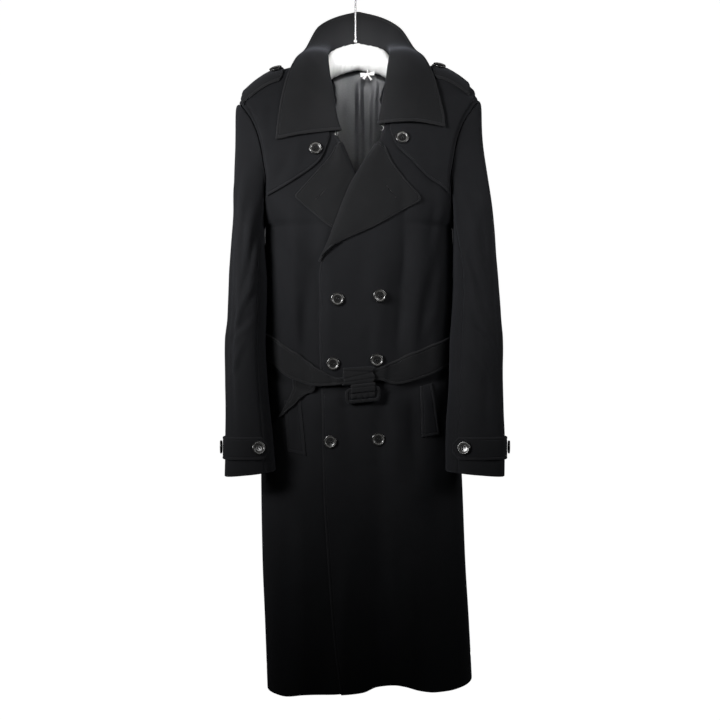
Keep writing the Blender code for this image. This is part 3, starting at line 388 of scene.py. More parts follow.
def base(x, reach, face):
    """A point of the body's outer surface: face is -1 for the front and 1 for the back."""
    x, reach = np.broadcast_arrays(np.asarray(x, float), np.asarray(reach, float))
    z = level_at(x, reach)
    across = np.clip(np.abs(x - smooth(BODY, z, MIDDLE_X)) / smooth(BODY, z, HALF_WIDTH), 0, 1)
    profile = (1 - across**SECTION_POWER) ** (1 / SECTION_POWER)
    middle = smooth(BODY, z, FRONT_DEPTH if face < 0 else BACK_DEPTH)
    tip = TIP_Z + LEAN * (x - CENTRE_X)
    share = np.clip((z - UNDERARM_Z) / (tip - UNDERARM_Z), 0, 1)
    hole = ARMHOLE_HALF_DEPTH * 2 * np.sqrt(share * (1 - share))
    edge = np.hypot(hole, TIP_HALF_DEPTH * smoothstep(-330, -255, z))
    folds = fold_sum(FRONT_FOLDS if face < 0 else BACK_FOLDS, x, z) * profile
    fine = creases(FRONT_CREASES if face < 0 else BACK_CREASES, z, x) + ripple(z, x, 1.0 + face)
    if face < 0:
        over_belt = z - smooth(BELT_FRONT, x, 2)
        fine = fine - 5.0 * bell(over_belt, -13, 10)
        fine = fine + 1.6 * bell(over_belt, -42, 16)
    folds = folds + fine * np.minimum(profile * 1.6, 1) * smoothstep(-215, -262, z)
    turn = np.clip(reach / SHOULDER_ROUND, 0, math.pi / 2)
    y = face * (edge + (middle - edge) * profile + folds) * np.sin(turn)
    return np.stack([x, y, z], -1)


def belt_front_z(x, place):
    """Height of the belt on the front: place is 0 at its upper edge and 1 at its lower."""
    return smooth(BELT_FRONT, x, 1) * (1 - place) + smooth(BELT_FRONT, x, 2) * place


def unit(vectors):
    return vectors / np.maximum(np.linalg.norm(vectors, axis=-1, keepdims=True), 1e-9)


def body_point(x, reach, face, out=0.0):
    """A point of the body's surface, moved out of it."""
    along = base(x + 1.0, reach, face) - base(x - 1.0, reach, face)
    down = base(x, np.asarray(reach) + 1.0, face) - base(x, np.maximum(np.asarray(reach) - 1.0, 0), face)
    normal = face * unit(np.cross(along, down))
    return base(x, reach, face) + normal * np.asarray(out, float)[..., None]


def on_body(x, z, face, out=0.0):
    return body_point(x, reach_at(x, z), face, out)


def places(length, start, finish, count):
    """Distances along a line: at the marks from its start and its end, and evenly between them."""
    start, finish = np.array(start, float), np.array(finish, float)
    room = start[-1] + finish[-1]
    squeeze = min(1.0, 0.8 * length / max(room, 1e-6))
    start, finish = start * squeeze, finish * squeeze
    middle = np.linspace(start[-1], length - finish[-1], count - len(start) - len(finish) + 2)[1:-1]
    return np.concatenate([start, middle, length - finish[::-1]])


def lengths_along(points):
    """How far along a polyline each of its points lies."""
    return np.concatenate([[0], np.cumsum(np.linalg.norm(np.diff(points, axis=0), axis=1))])


def along_line(points, wanted):
    """Points at wanted distances along a polyline."""
    lengths = lengths_along(points)
    return np.stack([np.interp(wanted, lengths, points[:, k]) for k in range(points.shape[1])], 1)


def line_length(points):
    return float(np.linalg.norm(np.diff(points[:, :3], axis=0), axis=1).sum())


def spaced(points, start, finish, count, gap=0.0):
    """Points along a polyline, close together near its ends, with a gap kept free at each end."""
    length = line_length(points)
    return along_line(points, gap + places(length - 2 * gap, start, finish, count))


def relay(grid, start, finish, step):
    """The same surface with its rows at the marks from the first and last row and evenly between."""
    lengths = [line_length(grid[:, j]) for j in range(grid.shape[1])]
    count = len(start) + len(finish) + max(2, int(np.mean(lengths) / step))
    return np.stack([spaced(grid[:, j], start, finish, count) for j in range(grid.shape[1])], 1)


def even_grid(rows, down, across):
    """The surface laid again both ways. down and across are the marks at each end, and the step."""
    grid = relay(np.array(rows), *down)
    return relay(grid.transpose(1, 0, 2), *across).transpose(1, 0, 2)


def grid_faces(index):
    """The four corners of every cell of a grid, from the numbers of its points."""
    return index[:-1, :-1], index[1:, :-1], index[1:, 1:], index[:-1, 1:]


def normals_of(grid, flip, ring):
    """Unit normals of a grid of points, on its outer side."""
    if ring:
        around = np.roll(grid, -1, axis=1) - np.roll(grid, 1, axis=1)
    else:
        around = np.gradient(grid, axis=1)
    down = np.gradient(grid, axis=0)
    return unit(np.cross(down, around)) * (-1 if flip else 1)


def distances(grid):
    """How far each point is from the grid's first row, last row, first column and last column."""
    steps = np.linalg.norm(np.diff(grid, axis=0), axis=2)
    top = np.vstack([np.zeros(grid.shape[1]), np.cumsum(steps, axis=0)])
    steps = np.linalg.norm(np.diff(grid, axis=1), axis=2)
    left = np.hstack([np.zeros((grid.shape[0], 1)), np.cumsum(steps, axis=1)])
    return {"top": top, "foot": top[-1] - top, "left": left, "right": left[:, -1:] - left}


# The stitches of every piece, gathered by its name and then made as one mesh for each piece
stitches = {}


def edge_relief(height, far, ring, stitched, seams, soft):
    """Height with stitched borders and seams, and how far each point is from a free border."""
    edge = np.full(height.shape, 99.0)
    for border in ("top", "foot", "left", "right"):
        if ring and border in ("left", "right"):
            continue
        away = far[border]
        if border not in seams:
            edge = np.minimum(edge, away)
        if border in stitched:
            inside = np.ones_like(edge)
            for other in stitched:
                if other != border:
                    inside = inside * (far[other] > STITCH_AT - 0.3)
            height = height - 0.62 * bell(away, STITCH_AT, 0.75) * inside
            height = height + 0.30 * bell(away, 2.9, 1.6)
        if border in seams:
            height = height - 1.25 * soft * bell(away, 0, 2.3)
            height = height + 0.25 * soft * bell(away, 5.2, 2.6)
    return height, edge


def cloth_faces(rows, columns, flip, ring):
    """Faces of both sides of a grid and of its rims; the inner side's points follow the outer side's."""
    index = np.arange(rows * columns).reshape(rows, columns)
    if ring:
        index = np.hstack([index, index[:, :1]])
    outside = np.stack(grid_faces(index), -1).reshape(-1, 4)
    if flip:
        outside = outside[:, ::-1]
    behind = rows * columns
    faces = [outside, outside[:, ::-1] + behind]
    borders = [index[0, ::-1], index[-1, :]]
    if not ring:
        borders += [index[:, 0], index[::-1, -1]]
    for line in borders:
        rim = np.stack([line[1:], line[:-1], line[:-1] + behind, line[1:] + behind], -1)
        faces.append(rim[:, ::-1] if flip else rim)
    return np.vstack(faces)


def cloth(name, grid, thickness, kind, flip=False, ring=False, stitched=(), seams=(), relief=None,
          soft=1.0):
    """A cloth piece with two sides and rounded edges, from a grid of points on its outer side, in mm.

    It takes the place of the solid of the same name. stitched and seams name its borders: top, foot,
    left, right. A stitched border is rounded and has a row of stitches; a seam border dips into its seam.
    """
    normal = normals_of(grid, flip, ring)
    far = distances(grid)
    height = np.zeros(grid.shape[:2]) if relief is None else relief
    height, edge = edge_relief(height, far, ring, stitched, seams, soft)
    radius = thickness * 0.62
    drop = radius * (1 - np.sqrt(np.clip(1 - np.clip(1 - edge / radius, 0, 1) ** 2, 0, 1)))
    outer = grid + normal * (height - drop)[..., None]
    depth = height * 0.5 - thickness + np.minimum(drop, thickness - radius * 0.98)
    inner = grid + normal * depth[..., None]
    points = np.vstack([outer.reshape(-1, 3), inner.reshape(-1, 3)])
    flat = np.stack([far["left"], -far["top"]], -1).reshape(-1, 2)
    # Painted highlight: how much paler the cloth is made at its free edges and on the puffed band beside
    # its stitching, where rolled edges catch light.
    edge_highlight = 0.7 * bell(edge, 0, 2.2).reshape(-1)
    for border in stitched:
        edge_highlight = np.maximum(edge_highlight, 0.38 * bell(far[border], 2.6, 2.2).reshape(-1))
    faces = cloth_faces(*grid.shape[:2], flip, ring)
    obj = mesh_piece(f"{name}_cloth", points, faces, kind, np.vstack([flat, flat + 0.41]), np.tile(edge_highlight, 2))
    for border in stitched:
        sew(name, outer, normal, far, border, stitched, ring)
    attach(obj, "root")
    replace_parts(obj, name)
    return outer, normal


def sew(name, outer, normal, far, border, stitched, ring):
    """A row of stitches beside a border, short of the rows beside the borders that meet it."""
    level = border in ("top", "foot")
    away = np.mean(far[border], axis=1 if level else 0)
    cut = int(np.argmin(np.abs(away - STITCH_AT)))
    if level:
        line, up = outer[cut], normal[cut]
        ends = ("left", "right")
    else:
        line, up = outer[:, cut], normal[:, cut]
        ends = ("top", "foot")
    if ring:
        line, up = np.vstack([line, line[:1]]), np.vstack([up, up[:1]])
    length = line_length(line)
    low = STITCH_AT if ends[0] in stitched else 1.0
    high = length - (STITCH_AT if ends[1] in stitched else 1.0)
    run_of_stitches(name, line, up, low, high)


def run_of_stitches(name, line, up, low, high):
    """A row of stitches between two distances along a line: each is a slim double cone."""
    both = np.hstack([line, up])
    starts = np.arange(low, high - STITCH_LONG, STITCH_EVERY)
    if not len(starts):
        return
    a, b = along_line(both, starts), along_line(both, starts + STITCH_LONG)
    rise = unit(a[:, 3:] + b[:, 3:])
    forward = unit(b[:, :3] - a[:, :3])
    across = np.cross(forward, rise)
    first, last = a[:, :3] - rise * 0.12, b[:, :3] - rise * 0.12
    middle = (a[:, :3] + b[:, :3]) / 2
    aside = across * STITCH_WIDE
    ring_points = [middle + aside, middle + rise * 0.36, middle - aside, middle - rise * 0.2]
    points = np.stack([first, last, *ring_points], 1)
    stitches.setdefault(name, []).append(points)


def make_stitches(name, rows):
    points = np.concatenate(rows)
    shape = np.array([
        (0, 3, 2), (0, 4, 3), (0, 5, 4), (0, 2, 5), (1, 2, 3), (1, 3, 4), (1, 4, 5), (1, 5, 2)])
    faces = (shape[None] + 6 * np.arange(len(points))[:, None, None]).reshape(-1, 3)
    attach(mesh_piece(f"stitches_{name}", points.reshape(-1, 3), faces, "thread"), "root")


# Radii of the pale ring painted on a button's rim as a highlight, in metres
PAINTED_HIGHLIGHT_RING = (0.0070, 0.0098)


def new_object(name, data):
    obj = bpy.data.objects.new(name, data)
    bpy.context.scene.collection.objects.link(obj)
    return obj


def mesh_piece(name, points, faces, kind, flat=None, edge_highlight=None):
    """A mesh from arrays of points in mm and of faces, with the cloth's own flat lengths as its UV map."""
    points = np.asarray(points, float) * MM
    faces = np.asarray(faces)
    mesh = bpy.data.meshes.new(name)
    sides = faces.shape[1]
    mesh.vertices.add(len(points))
    mesh.vertices.foreach_set("co", points.astype(np.float32).ravel())
    mesh.loops.add(faces.size)
    mesh.loops.foreach_set("vertex_index", faces.astype(np.int32).ravel())
    mesh.polygons.add(len(faces))
    mesh.polygons.foreach_set("loop_start", np.arange(0, faces.size, sides, dtype=np.int32))
    mesh.polygons.foreach_set("loop_total", np.full(len(faces), sides, dtype=np.int32))
    mesh.update(calc_edges=True)
    if flat is not None:
        layer = mesh.uv_layers.new(name="cloth")
        layer.data.foreach_set("uv", flat[faces.ravel()].astype(np.float32).ravel())
    if edge_highlight is not None:
        attribute = mesh.attributes.new("edge_highlight", "FLOAT", "POINT")
        attribute.data.foreach_set("value", edge_highlight.astype(np.float32))
    mesh.validate()
    mesh.shade_smooth()
    mesh.materials.append(material(kind))
    obj = new_object(name, mesh)
    return obj


class Nodes:
    """A short way to write a material's nodes."""

    def __init__(self, name):
        self.material = bpy.data.materials.new(name)
        self.material.use_nodes = True
        self.tree = self.material.node_tree
        self.shader = self.tree.nodes["Principled BSDF"]

    def put(self, socket, value):
        if isinstance(value, bpy.types.NodeSocket):
            self.tree.links.new(value, socket)
        else:
            socket.default_value = value

    def set(self, **values):
        for key, value in values.items():
            self.put(self.shader.inputs[key.replace("_", " ")], value)

    def node(self, kind, output, sockets, **settings):
        """A node with its settings and sockets filled in; gives back one of its outputs."""
        node = self.tree.nodes.new("ShaderNode" + kind)
        for key, value in settings.items():
            setattr(node, key, value)
        for key, value in sockets.items():
            self.put(node.inputs[key], value)
        return node.outputs[output]

    def maths(self, operation, a, b=0.0, clamp=False):
        return self.node("Math", 0, {0: a, 1: b}, operation=operation, use_clamp=clamp)

    def weighed(self, *parts, clamp=False):
        """The sum of some values, each times its weight."""
        total = None
        for i, (value, weight) in enumerate(parts):
            part = self.maths("MULTIPLY", value, weight)
            last = i == len(parts) - 1
            total = part if total is None else self.maths("ADD", total, part, clamp=clamp and last)
        return total

    def noise(self, vector, scale, detail=3.0, rough=0.55, distortion=0.0):
        return self.node("TexNoise", 0, {"Vector": vector, "Scale": scale, "Detail": detail,
                                         "Roughness": rough, "Distortion": distortion})

    def wave(self, vector, scale, direction, distortion=0.0, detail_scale=1.0):
        return self.node("TexWave", 1, {"Vector": vector, "Scale": scale, "Distortion": distortion,
                                        "Detail": 2.0, "Detail Scale": detail_scale},
                         bands_direction=direction)

    def between(self, share, low, high):
        """low where share is 0 and high where it is 1."""
        return self.node("MapRange", 0, {"Value": share, "To Min": low, "To Max": high})

    def blend(self, share, first, second):
        first, second = [(*c, 1) if isinstance(c, tuple) else c for c in (first, second)]
        return self.node("Mix", 2, {0: share, 6: first, 7: second}, data_type="RGBA")

    def bump(self, height, distance, strength=1.0):
        return self.node("Bump", 0, {"Height": height, "Distance": distance, "Strength": strength})

    def coordinates(self, kind):
        return self.tree.nodes.new("ShaderNodeTexCoord").outputs[kind]

    def attribute(self, name):
        return self.node("Attribute", "Fac", {}, attribute_name=name)


def wool_nodes(n, dark, light, edge_highlight_colour):
    """A milled wool: a fine twill under a felted nap, with a pale grey highlight painted in patches along
    its edges.
    """
    flat = n.coordinates("UV")
    place = n.coordinates("Object")
    twill = n.wave(flat, 0.32, "DIAGONAL", 1.2, 0.6)
    weft = n.wave(flat, 0.30, "X", 0.8, 0.8)
    nap = n.noise(flat, 0.85, 4.0, 0.7)
    fibre = n.noise(place, 420.0, 3.0, 0.7)
    cloud = n.noise(place, 9.0, 3.0, 0.6, 0.4)
    patch = n.noise(place, 38.0, 2.0, 0.6)
    height = n.weighed((twill, 0.42), (weft, 0.16), (nap, 0.7), (fibre, 0.6))
    tone = n.weighed((cloud, 0.5), (patch, 0.3), (nap, 0.35), (twill, 0.12), clamp=True)
    colour = n.blend(tone, dark, light)
    # Painted highlight: the colour turns pale grey along the edges, in patches, where rolled edges catch
    # light.
    edge_highlight = n.maths("MULTIPLY", n.attribute("edge_highlight"), n.between(patch, 0.25, 0.8))
    colour = n.blend(edge_highlight, colour, edge_highlight_colour)
    n.set(Base_Color=colour, Roughness=n.between(nap, 0.80, 0.97), Specular_IOR_Level=0.28,
          Sheen_Weight=0.16, Sheen_Roughness=0.45, Sheen_Tint=(0.82, 0.86, 1.0, 1),
          Normal=n.bump(height, 0.00022, 0.75))


def lining_nodes(n):
    flat = n.coordinates("UV")
    place = n.coordinates("Object")
    warp = n.wave(flat, 0.55, "X", 0.5, 0.7)
    slub = n.noise(flat, 0.35, 3.0, 0.6)
    pucker = n.noise(place, 60.0, 3.0, 0.55)
    shade = n.between(slub, 0.0, 1.0)
    colour = n.blend(shade, (0.040, 0.041, 0.046), (0.090, 0.092, 0.100))
    height = n.weighed((warp, 0.2), (pucker, 1.0))
    n.set(Base_Color=colour, Roughness=n.between(slub, 0.34, 0.5), Specular_IOR_Level=0.5,
          Sheen_Weight=0.25, Sheen_Roughness=0.3, Anisotropic=0.4, Normal=n.bump(height, 0.0004, 0.6))


def satin_nodes(n):
    flat = n.coordinates("UV")
    place = n.coordinates("Object")
    warp = n.wave(flat, 0.6, "Y", 0.4, 0.7)
    crinkle = n.noise(place, 140.0, 4.0, 0.6)
    shade = n.noise(place, 30.0, 2.0, 0.5)
    colour = n.blend(shade, (0.80, 0.80, 0.79), (0.90, 0.90, 0.895))
    height = n.weighed((warp, 0.12), (crinkle, 0.9))
    n.set(Base_Color=colour, Roughness=n.between(crinkle, 0.38, 0.56), Specular_IOR_Level=0.5,
          Sheen_Weight=0.3, Sheen_Roughness=0.3, Normal=n.bump(height, 0.0005, 0.6))


def button_nodes(n):
    """Polished horn: near black with smoky streaks, a pale ring painted on its rim as a highlight, and fine
    scuffs.
    """
    place = n.coordinates("Object")
    streak = n.noise(place, 160.0, 4.0, 0.65, 1.6)
    scuff = n.noise(place, 900.0, 2.0, 0.7)
    apart = n.tree.nodes.new("ShaderNodeSeparateXYZ")
    n.put(apart.inputs[0], place)
    x, y = apart.outputs[0], apart.outputs[1]
    away = n.maths("SQRT", n.maths("ADD", n.maths("MULTIPLY", x, x), n.maths("MULTIPLY", y, y)))
    inside, outside = PAINTED_HIGHLIGHT_RING
    rim = n.maths("MULTIPLY", n.maths("SUBTRACT", away, inside), 900.0, clamp=True)
    edge = n.maths("MULTIPLY", n.maths("SUBTRACT", outside, away), 1200.0, clamp=True)
    rim = n.maths("MULTIPLY", n.maths("MULTIPLY", rim, edge), n.between(streak, 0.45, 1.0))
    colour = n.blend(streak, (0.008, 0.008, 0.009), (0.045, 0.044, 0.043))
    # Painted highlight: the ring on the rim is made pale grey, in streaks, to stand for the light the
    # polished rim reflects.
    colour = n.blend(rim, colour, (0.27, 0.265, 0.255))
    n.set(Base_Color=colour, Roughness=n.between(scuff, 0.16, 0.30), Specular_IOR_Level=0.9,
          Coat_Weight=1.0, Coat_Roughness=0.12, Normal=n.bump(streak, 0.00012, 0.35))


def wire_nodes(n):
    place = n.coordinates("Object")
    brushed = n.noise(place, 700.0, 3.0, 0.6)
    cloud = n.noise(place, 50.0, 2.0, 0.5)
    colour = n.blend(cloud, (0.42, 0.42, 0.42), (0.60, 0.60, 0.60))
    n.set(Base_Color=colour, Metallic=1.0, Roughness=n.between(brushed, 0.2, 0.36),
          Normal=n.bump(brushed, 0.00003, 0.5))


def thread_nodes(n):
    place = n.coordinates("Object")
    twist = n.wave(place, 260.0, "DIAGONAL", 1.0, 2.0)
    lint = n.noise(place, 500.0, 2.0, 0.6)
    colour = n.blend(lint, (0.010, 0.010, 0.012), (0.032, 0.032, 0.036))
    n.set(Base_Color=colour, Roughness=n.between(twist, 0.5, 0.7), Specular_IOR_Level=0.5, Sheen_Weight=0.2,
          Normal=n.bump(twist, 0.00006, 0.6))


# Painted shade: near black, darker than the wool, standing in for the shade inside a buttonhole's slit.
def slit_shade_nodes(n):
    place = n.coordinates("Object")
    lint = n.noise(place, 800.0, 2.0, 0.6)
    n.set(Base_Color=n.blend(lint, (0.001, 0.001, 0.001), (0.004, 0.004, 0.004)), Roughness=0.95,
          Specular_IOR_Level=0.1, Normal=n.bump(lint, 0.0001, 0.5))


def material(kind):
    made = bpy.data.materials.get(f"looks_{kind}")
    if made:
        return made
    n = Nodes(f"looks_{kind}")
    # The third colour of each wool is the pale grey of its painted edge highlight.
    if kind == "wool":
        wool_nodes(n, (0.0066, 0.0069, 0.0086), (0.0175, 0.0180, 0.0205), (0.040, 0.040, 0.043))
    # The facing copy of the wool, on the collar, lapels, epaulettes, belt and buckle, is lighter and more
    # neutral than the body's: partly painted light, since these pieces stand out and catch more of it, and
    # partly their own more neutral tone.
    elif kind == "facing":
        wool_nodes(n, (0.0080, 0.0082, 0.0092), (0.0205, 0.0208, 0.0222), (0.046, 0.046, 0.048))
    else:
        {"lining": lining_nodes, "satin": satin_nodes, "button": button_nodes, "wire": wire_nodes,
         "thread": thread_nodes, "hole": slit_shade_nodes}[kind](n)
    return n.material


# Passes in which a row's end settles on the edge of its panel
EDGE_PASSES = 12


def body_row(share, side, inner, face, hem, count, out, marks):
    """One row of a body panel, from the armhole or side seam to the panel's inner edge.

    share runs 0 to 1 from the shoulder seam to the underarm, and 1 to 2 from there to the hem. inner is
    a table of z and x, or the other side of the body.
    """
    def level(x):
        start = reach_at(x, neck_z(x))
        under = reach_at(x, UNDERARM_Z)
        hem_z = smooth(hem, x)
        skirt = max(share - 1, 0)
        extra = skirt * (UNDERARM_Z - HEM_Z) + (HEM_Z - hem_z) * skirt**HEM_SHARPNESS
        return start + min(share, 1) * (under - start) + extra

    def side_point(sign):
        x = CENTRE_X + sign * 200.0
        for _ in range(EDGE_PASSES):
            x = side_x(level_at(x, level(x)), sign)
        return x

    start_x = side_point(side)
    if isinstance(inner, int):
        end_x = side_point(inner)
    else:
        end_x = inner[0, 1]
        for _ in range(EDGE_PASSES):
            end_x = smooth(inner, level_at(end_x, level(end_x)))
    x = start_x + (end_x - start_x) * EASED
    reach = level(x)
    points = base(x, reach, face)
    along = np.gradient(points, axis=0)
    down = base(x, reach + 1.0, face) - base(x, np.maximum(reach - 1.0, 0), face)
    normal = unit(np.cross(along, down)) * face * np.sign(end_x - start_x)
    points = points + normal * np.asarray(out(x, points[:, 2]), float)[:, None]
    if share == 0:
        points[:, 1] = face * np.maximum(SEAM_GAP / 2 + 0.1, np.abs(points[:, 1]))
    return spaced(points, marks[0], marks[1], count, SEAM_GAP / 2)


def over_out(x, z):
    """The wearer's left front stands out from the right front where it laps over it."""
    lapped = (1 - smoothstep(92, 165, x)) * smoothstep(-285, -360, z)
    lapel = (1 - smoothstep(62, 165, x)) * smoothstep(-640, -540, z) * smoothstep(-320, -400, z)
    return lapped * (WOOL + 1.2) + lapel * (DOUBLE_WOOL + 1.2)


def no_out(x, z):
    return 0 * x


def body():
    """The two fronts and the back, with a row of stitches beside each front's edge."""
    top = [0, 0.002, 0.005, 0.01, 0.02, 0.035, 0.05]
    arm = list(np.linspace(0.07, 1, 52))
    hem_marks = np.array((0, 0.5, 1.2, 2.3, 4.0, 7.0)) / 840
    skirt = list(np.linspace(0.006, 0.985, 150)) + list(1 - hem_marks[::-1])
    shares = top + arm + [1 + s for s in skirt]
    panels = (
        ("front_left", 1, OVER_EDGE, -1, OVER_HEM, 80, over_out, EDGE_MARKS, ("right",), ()),
        ("front_right", -1, UNDER_EDGE, -1, UNDER_HEM, 66, no_out, EDGE_MARKS, ("right",), ()),
        ("back", 1, -1, 1, BACK_HEM, 104, no_out, SEAM_MARKS, (), ("right",)),
    )
    for name, side, inner, face, hem, count, out, end_marks, stitched, more_seams in panels:
        marks = (SEAM_MARKS, end_marks)
        rows = np.array([body_row(s, side, inner, face, hem, count, out, marks) for s in shares])
        fall = rows[..., 2]
        relief = -0.5 * bell(fall - fall[-1:], HEM_STITCH_AT, 2.0) * (fall < -1200)
        flip = (side > 0) != (face > 0)
        cloth(name, rows, WOOL, "wool", flip=flip, stitched=stitched, seams=("top", "left", *more_seams),
              relief=relief)


def back_lining():
    """The lining of the back, with the pleat down its middle that shows in the neck opening."""
    def pleat(x, z):
        fold = 6.0 * bell(x, 8, 6.0) - 4.0 * bell(x, 22, 5.0)
        fold = fold + 4.5 * bell(x - 36 - 0.05 * (z + 250), 0, 5.0)
        fold = fold + 3.0 * bell(x + 30 + 0.06 * (z + 250), 0, 6.0)
        fine = 1.6 * np.sin(x / 3.7 + z / 41) + 1.2 * np.sin(x / 2.3 - z / 60 + 1.0)
        tack = 0.9 * bell(x, 7, 5.0) * np.cos(z / 4.3) * bell(np.mod(z, 37), 18, 5.0)
        return -(WOOL + LINING + 3.4) - np.clip(fold + 0.35 * fine + tack, 0, 9) * smoothstep(-185, -230, z)

    rows = []
    shares = np.concatenate([np.linspace(0.03, 0.95, 60), np.linspace(0.97, 1.965, 60)])
    for share in shares:
        row = body_row(share, 1, -1, 1, BACK_HEM, 500, pleat, (SEAM_MARKS, SEAM_MARKS))
        inset = 14 + 174 * float(smoothstep(-350, -235, row[250][2]))
        rows.append(spaced(row, SEAM_MARKS, SEAM_MARKS, 90, inset))
    cloth("lining_back", np.array(rows), LINING, "lining")


def tip_z(side):
    return TIP_Z + LEAN * side * TIP_HALF_WIDTH


def armhole_z(side, turn):
    """Height of the armhole's line at a turn round the sleeve."""
    tip = tip_z(side)
    return (tip + UNDERARM_Z) / 2 + (tip - UNDERARM_Z) / 2 * np.cos(turn)


def sleeve_share(side, turn, z):
    """The share of a sleeve's length at a height."""
    z0 = armhole_z(side, turn)
    return (z - z0) / (CUFF_Z - CUFF_TILT * np.cos(turn) - z0)


def sleeve_point(side, turn, share):
    """A point of a sleeve: turn is 0 on its outer side, positive at the front and pi underneath."""
    turn, share = np.broadcast_arrays(np.asarray(turn, float), np.asarray(share, float))
    z0 = armhole_z(side, turn)
    x0 = side_x(z0, side)
    reach = reach_at(x0, z0)
    hole = np.where(np.sin(turn) > 0, base(x0, reach, -1)[..., 1], base(x0, reach, 1)[..., 1])
    crown = np.clip(np.cos(turn), 0, 1) ** 2
    tuck = np.exp(-share / TUCK_SHARE)
    z = z0 + (CUFF_Z - CUFF_TILT * np.cos(turn) - z0) * share - HEAD_TUCK * crown * tuck
    outer = smooth(SLEEVES, z, 1 if side < 0 else 3)
    inner = smooth(SLEEVES, z, 2 if side < 0 else 4)
    cosine, sine = [np.sign(v) * np.abs(v) ** (2 / SLEEVE_POWER) for v in (np.cos(turn), np.sin(turn))]
    round_turn = np.degrees(np.arctan2(np.sin(turn), np.cos(turn)))
    fine = creases(RIGHT_ARM_CREASES if side < 0 else LEFT_ARM_CREASES, z, round_turn)
    fine = (1.7 * fine + ripple(z, round_turn, 2.0 + side)) * smoothstep(0.05, 0.2, share)
    facing_body = smoothstep(120, 150, np.abs(round_turn))
    fine = fine * (1 - facing_body)
    tube_x = (outer + inner) / 2 + ((outer - inner) / 2 + side * fine) * cosine
    tube_y = smooth(SLEEVES, z, 5) - (smooth(SLEEVES, z, 6) + fine) * sine
    mix = smoothstep(0, TUBE_SHARE, share)
    start = x0 + side * (ARMHOLE_STAND + ARMHOLE_EASE * (1 - tuck))
    swell = HEAD_SWELL * (1 - np.exp(-share / SWELL_SHARE))
    start = start + side * crown * (swell - HEAD_TUCK * tuck)
    x = start + (tube_x - start) * mix
    y = hole + (tube_y - hole) * mix
    return np.stack([x, y, z], -1)


def on_sleeve(side, turn, share, out):
    around = sleeve_point(side, turn + 0.02, share) - sleeve_point(side, turn - 0.02, share)
    down = sleeve_point(side, turn, share + 0.004) - sleeve_point(side, turn, share - 0.004)
    normal = unit(np.cross(around, down)) * side
    return sleeve_point(side, turn, share) + normal * np.asarray(out, float)[..., None]


def sleeves():
    """The upper and under half of each sleeve, each with its head's seam allowance inside the armhole."""
    seam = SLEEVE_SEAM
    gap = 0.0015
    near = np.array((0, 0.012, 0.03, 0.06))
    upper = np.concatenate([-seam + gap + near, np.linspace(-seam + 0.12, seam - 0.12, 62),
                            (seam - gap - near)[::-1]])
    under = np.concatenate([seam + gap + near, np.linspace(seam + 0.12, 2 * math.pi - seam - 0.12, 26),
                            (2 * math.pi - seam - gap - near)[::-1]])
    shares = np.concatenate([[0, 0.002, 0.004, 0.007, 0.011, 0.017, 0.026], np.linspace(0.036, 0.985, 118),
                             1 - np.array((7.0, 4.0, 2.3, 1.2, 0.5, 0)) / 560])
    allowance = ((8, 4.0), (4, 3.6), (1, 2.9), (-0.3, 1.5))
    for side, word in SIDES:
        for half, turns in (("upper", upper), ("under", under)):
            rows = sleeve_point(side, turns[None, :], shares[:, None])
            turned = [turned_in(rows[0], side, *step) for step in allowance]
            rows = np.concatenate([np.array(turned), rows])
            cloth(f"sleeve_{word}_{half}", rows, WOOL, "wool", flip=side > 0, seams=("left", "right"),
                  soft=0.8)


def turned_in(row, side, back, under):
    """A line of the sleeve head's seam allowance, back inside the armhole and under the body's cloth."""
    centre = np.array((0.0, (tip_z(side) + UNDERARM_Z) / 2))
    away = unit(row[:, 1:] - centre)
    return np.column_stack([row[:, 0] - side * back, row[:, 1:] - away * under])


def spline(points, at):
    """Points on a Catmull-Rom curve through the given ones, at places along it."""
    ends = np.vstack([2 * points[0] - points[1], points, 2 * points[-1] - points[-2]])
    at = np.asarray(at, float)
    i = np.minimum(at.astype(int), len(points) - 2)
    t = (at - i)[:, None]
    a, b, c, d = ends[i], ends[i + 1], ends[i + 2], ends[i + 3]
    bend = (2 * a - 5 * b + 4 * c - d) * t**2
    return 0.5 * (2 * b + (c - a) * t + bend + (3 * b - a - 3 * c + d) * t**3)


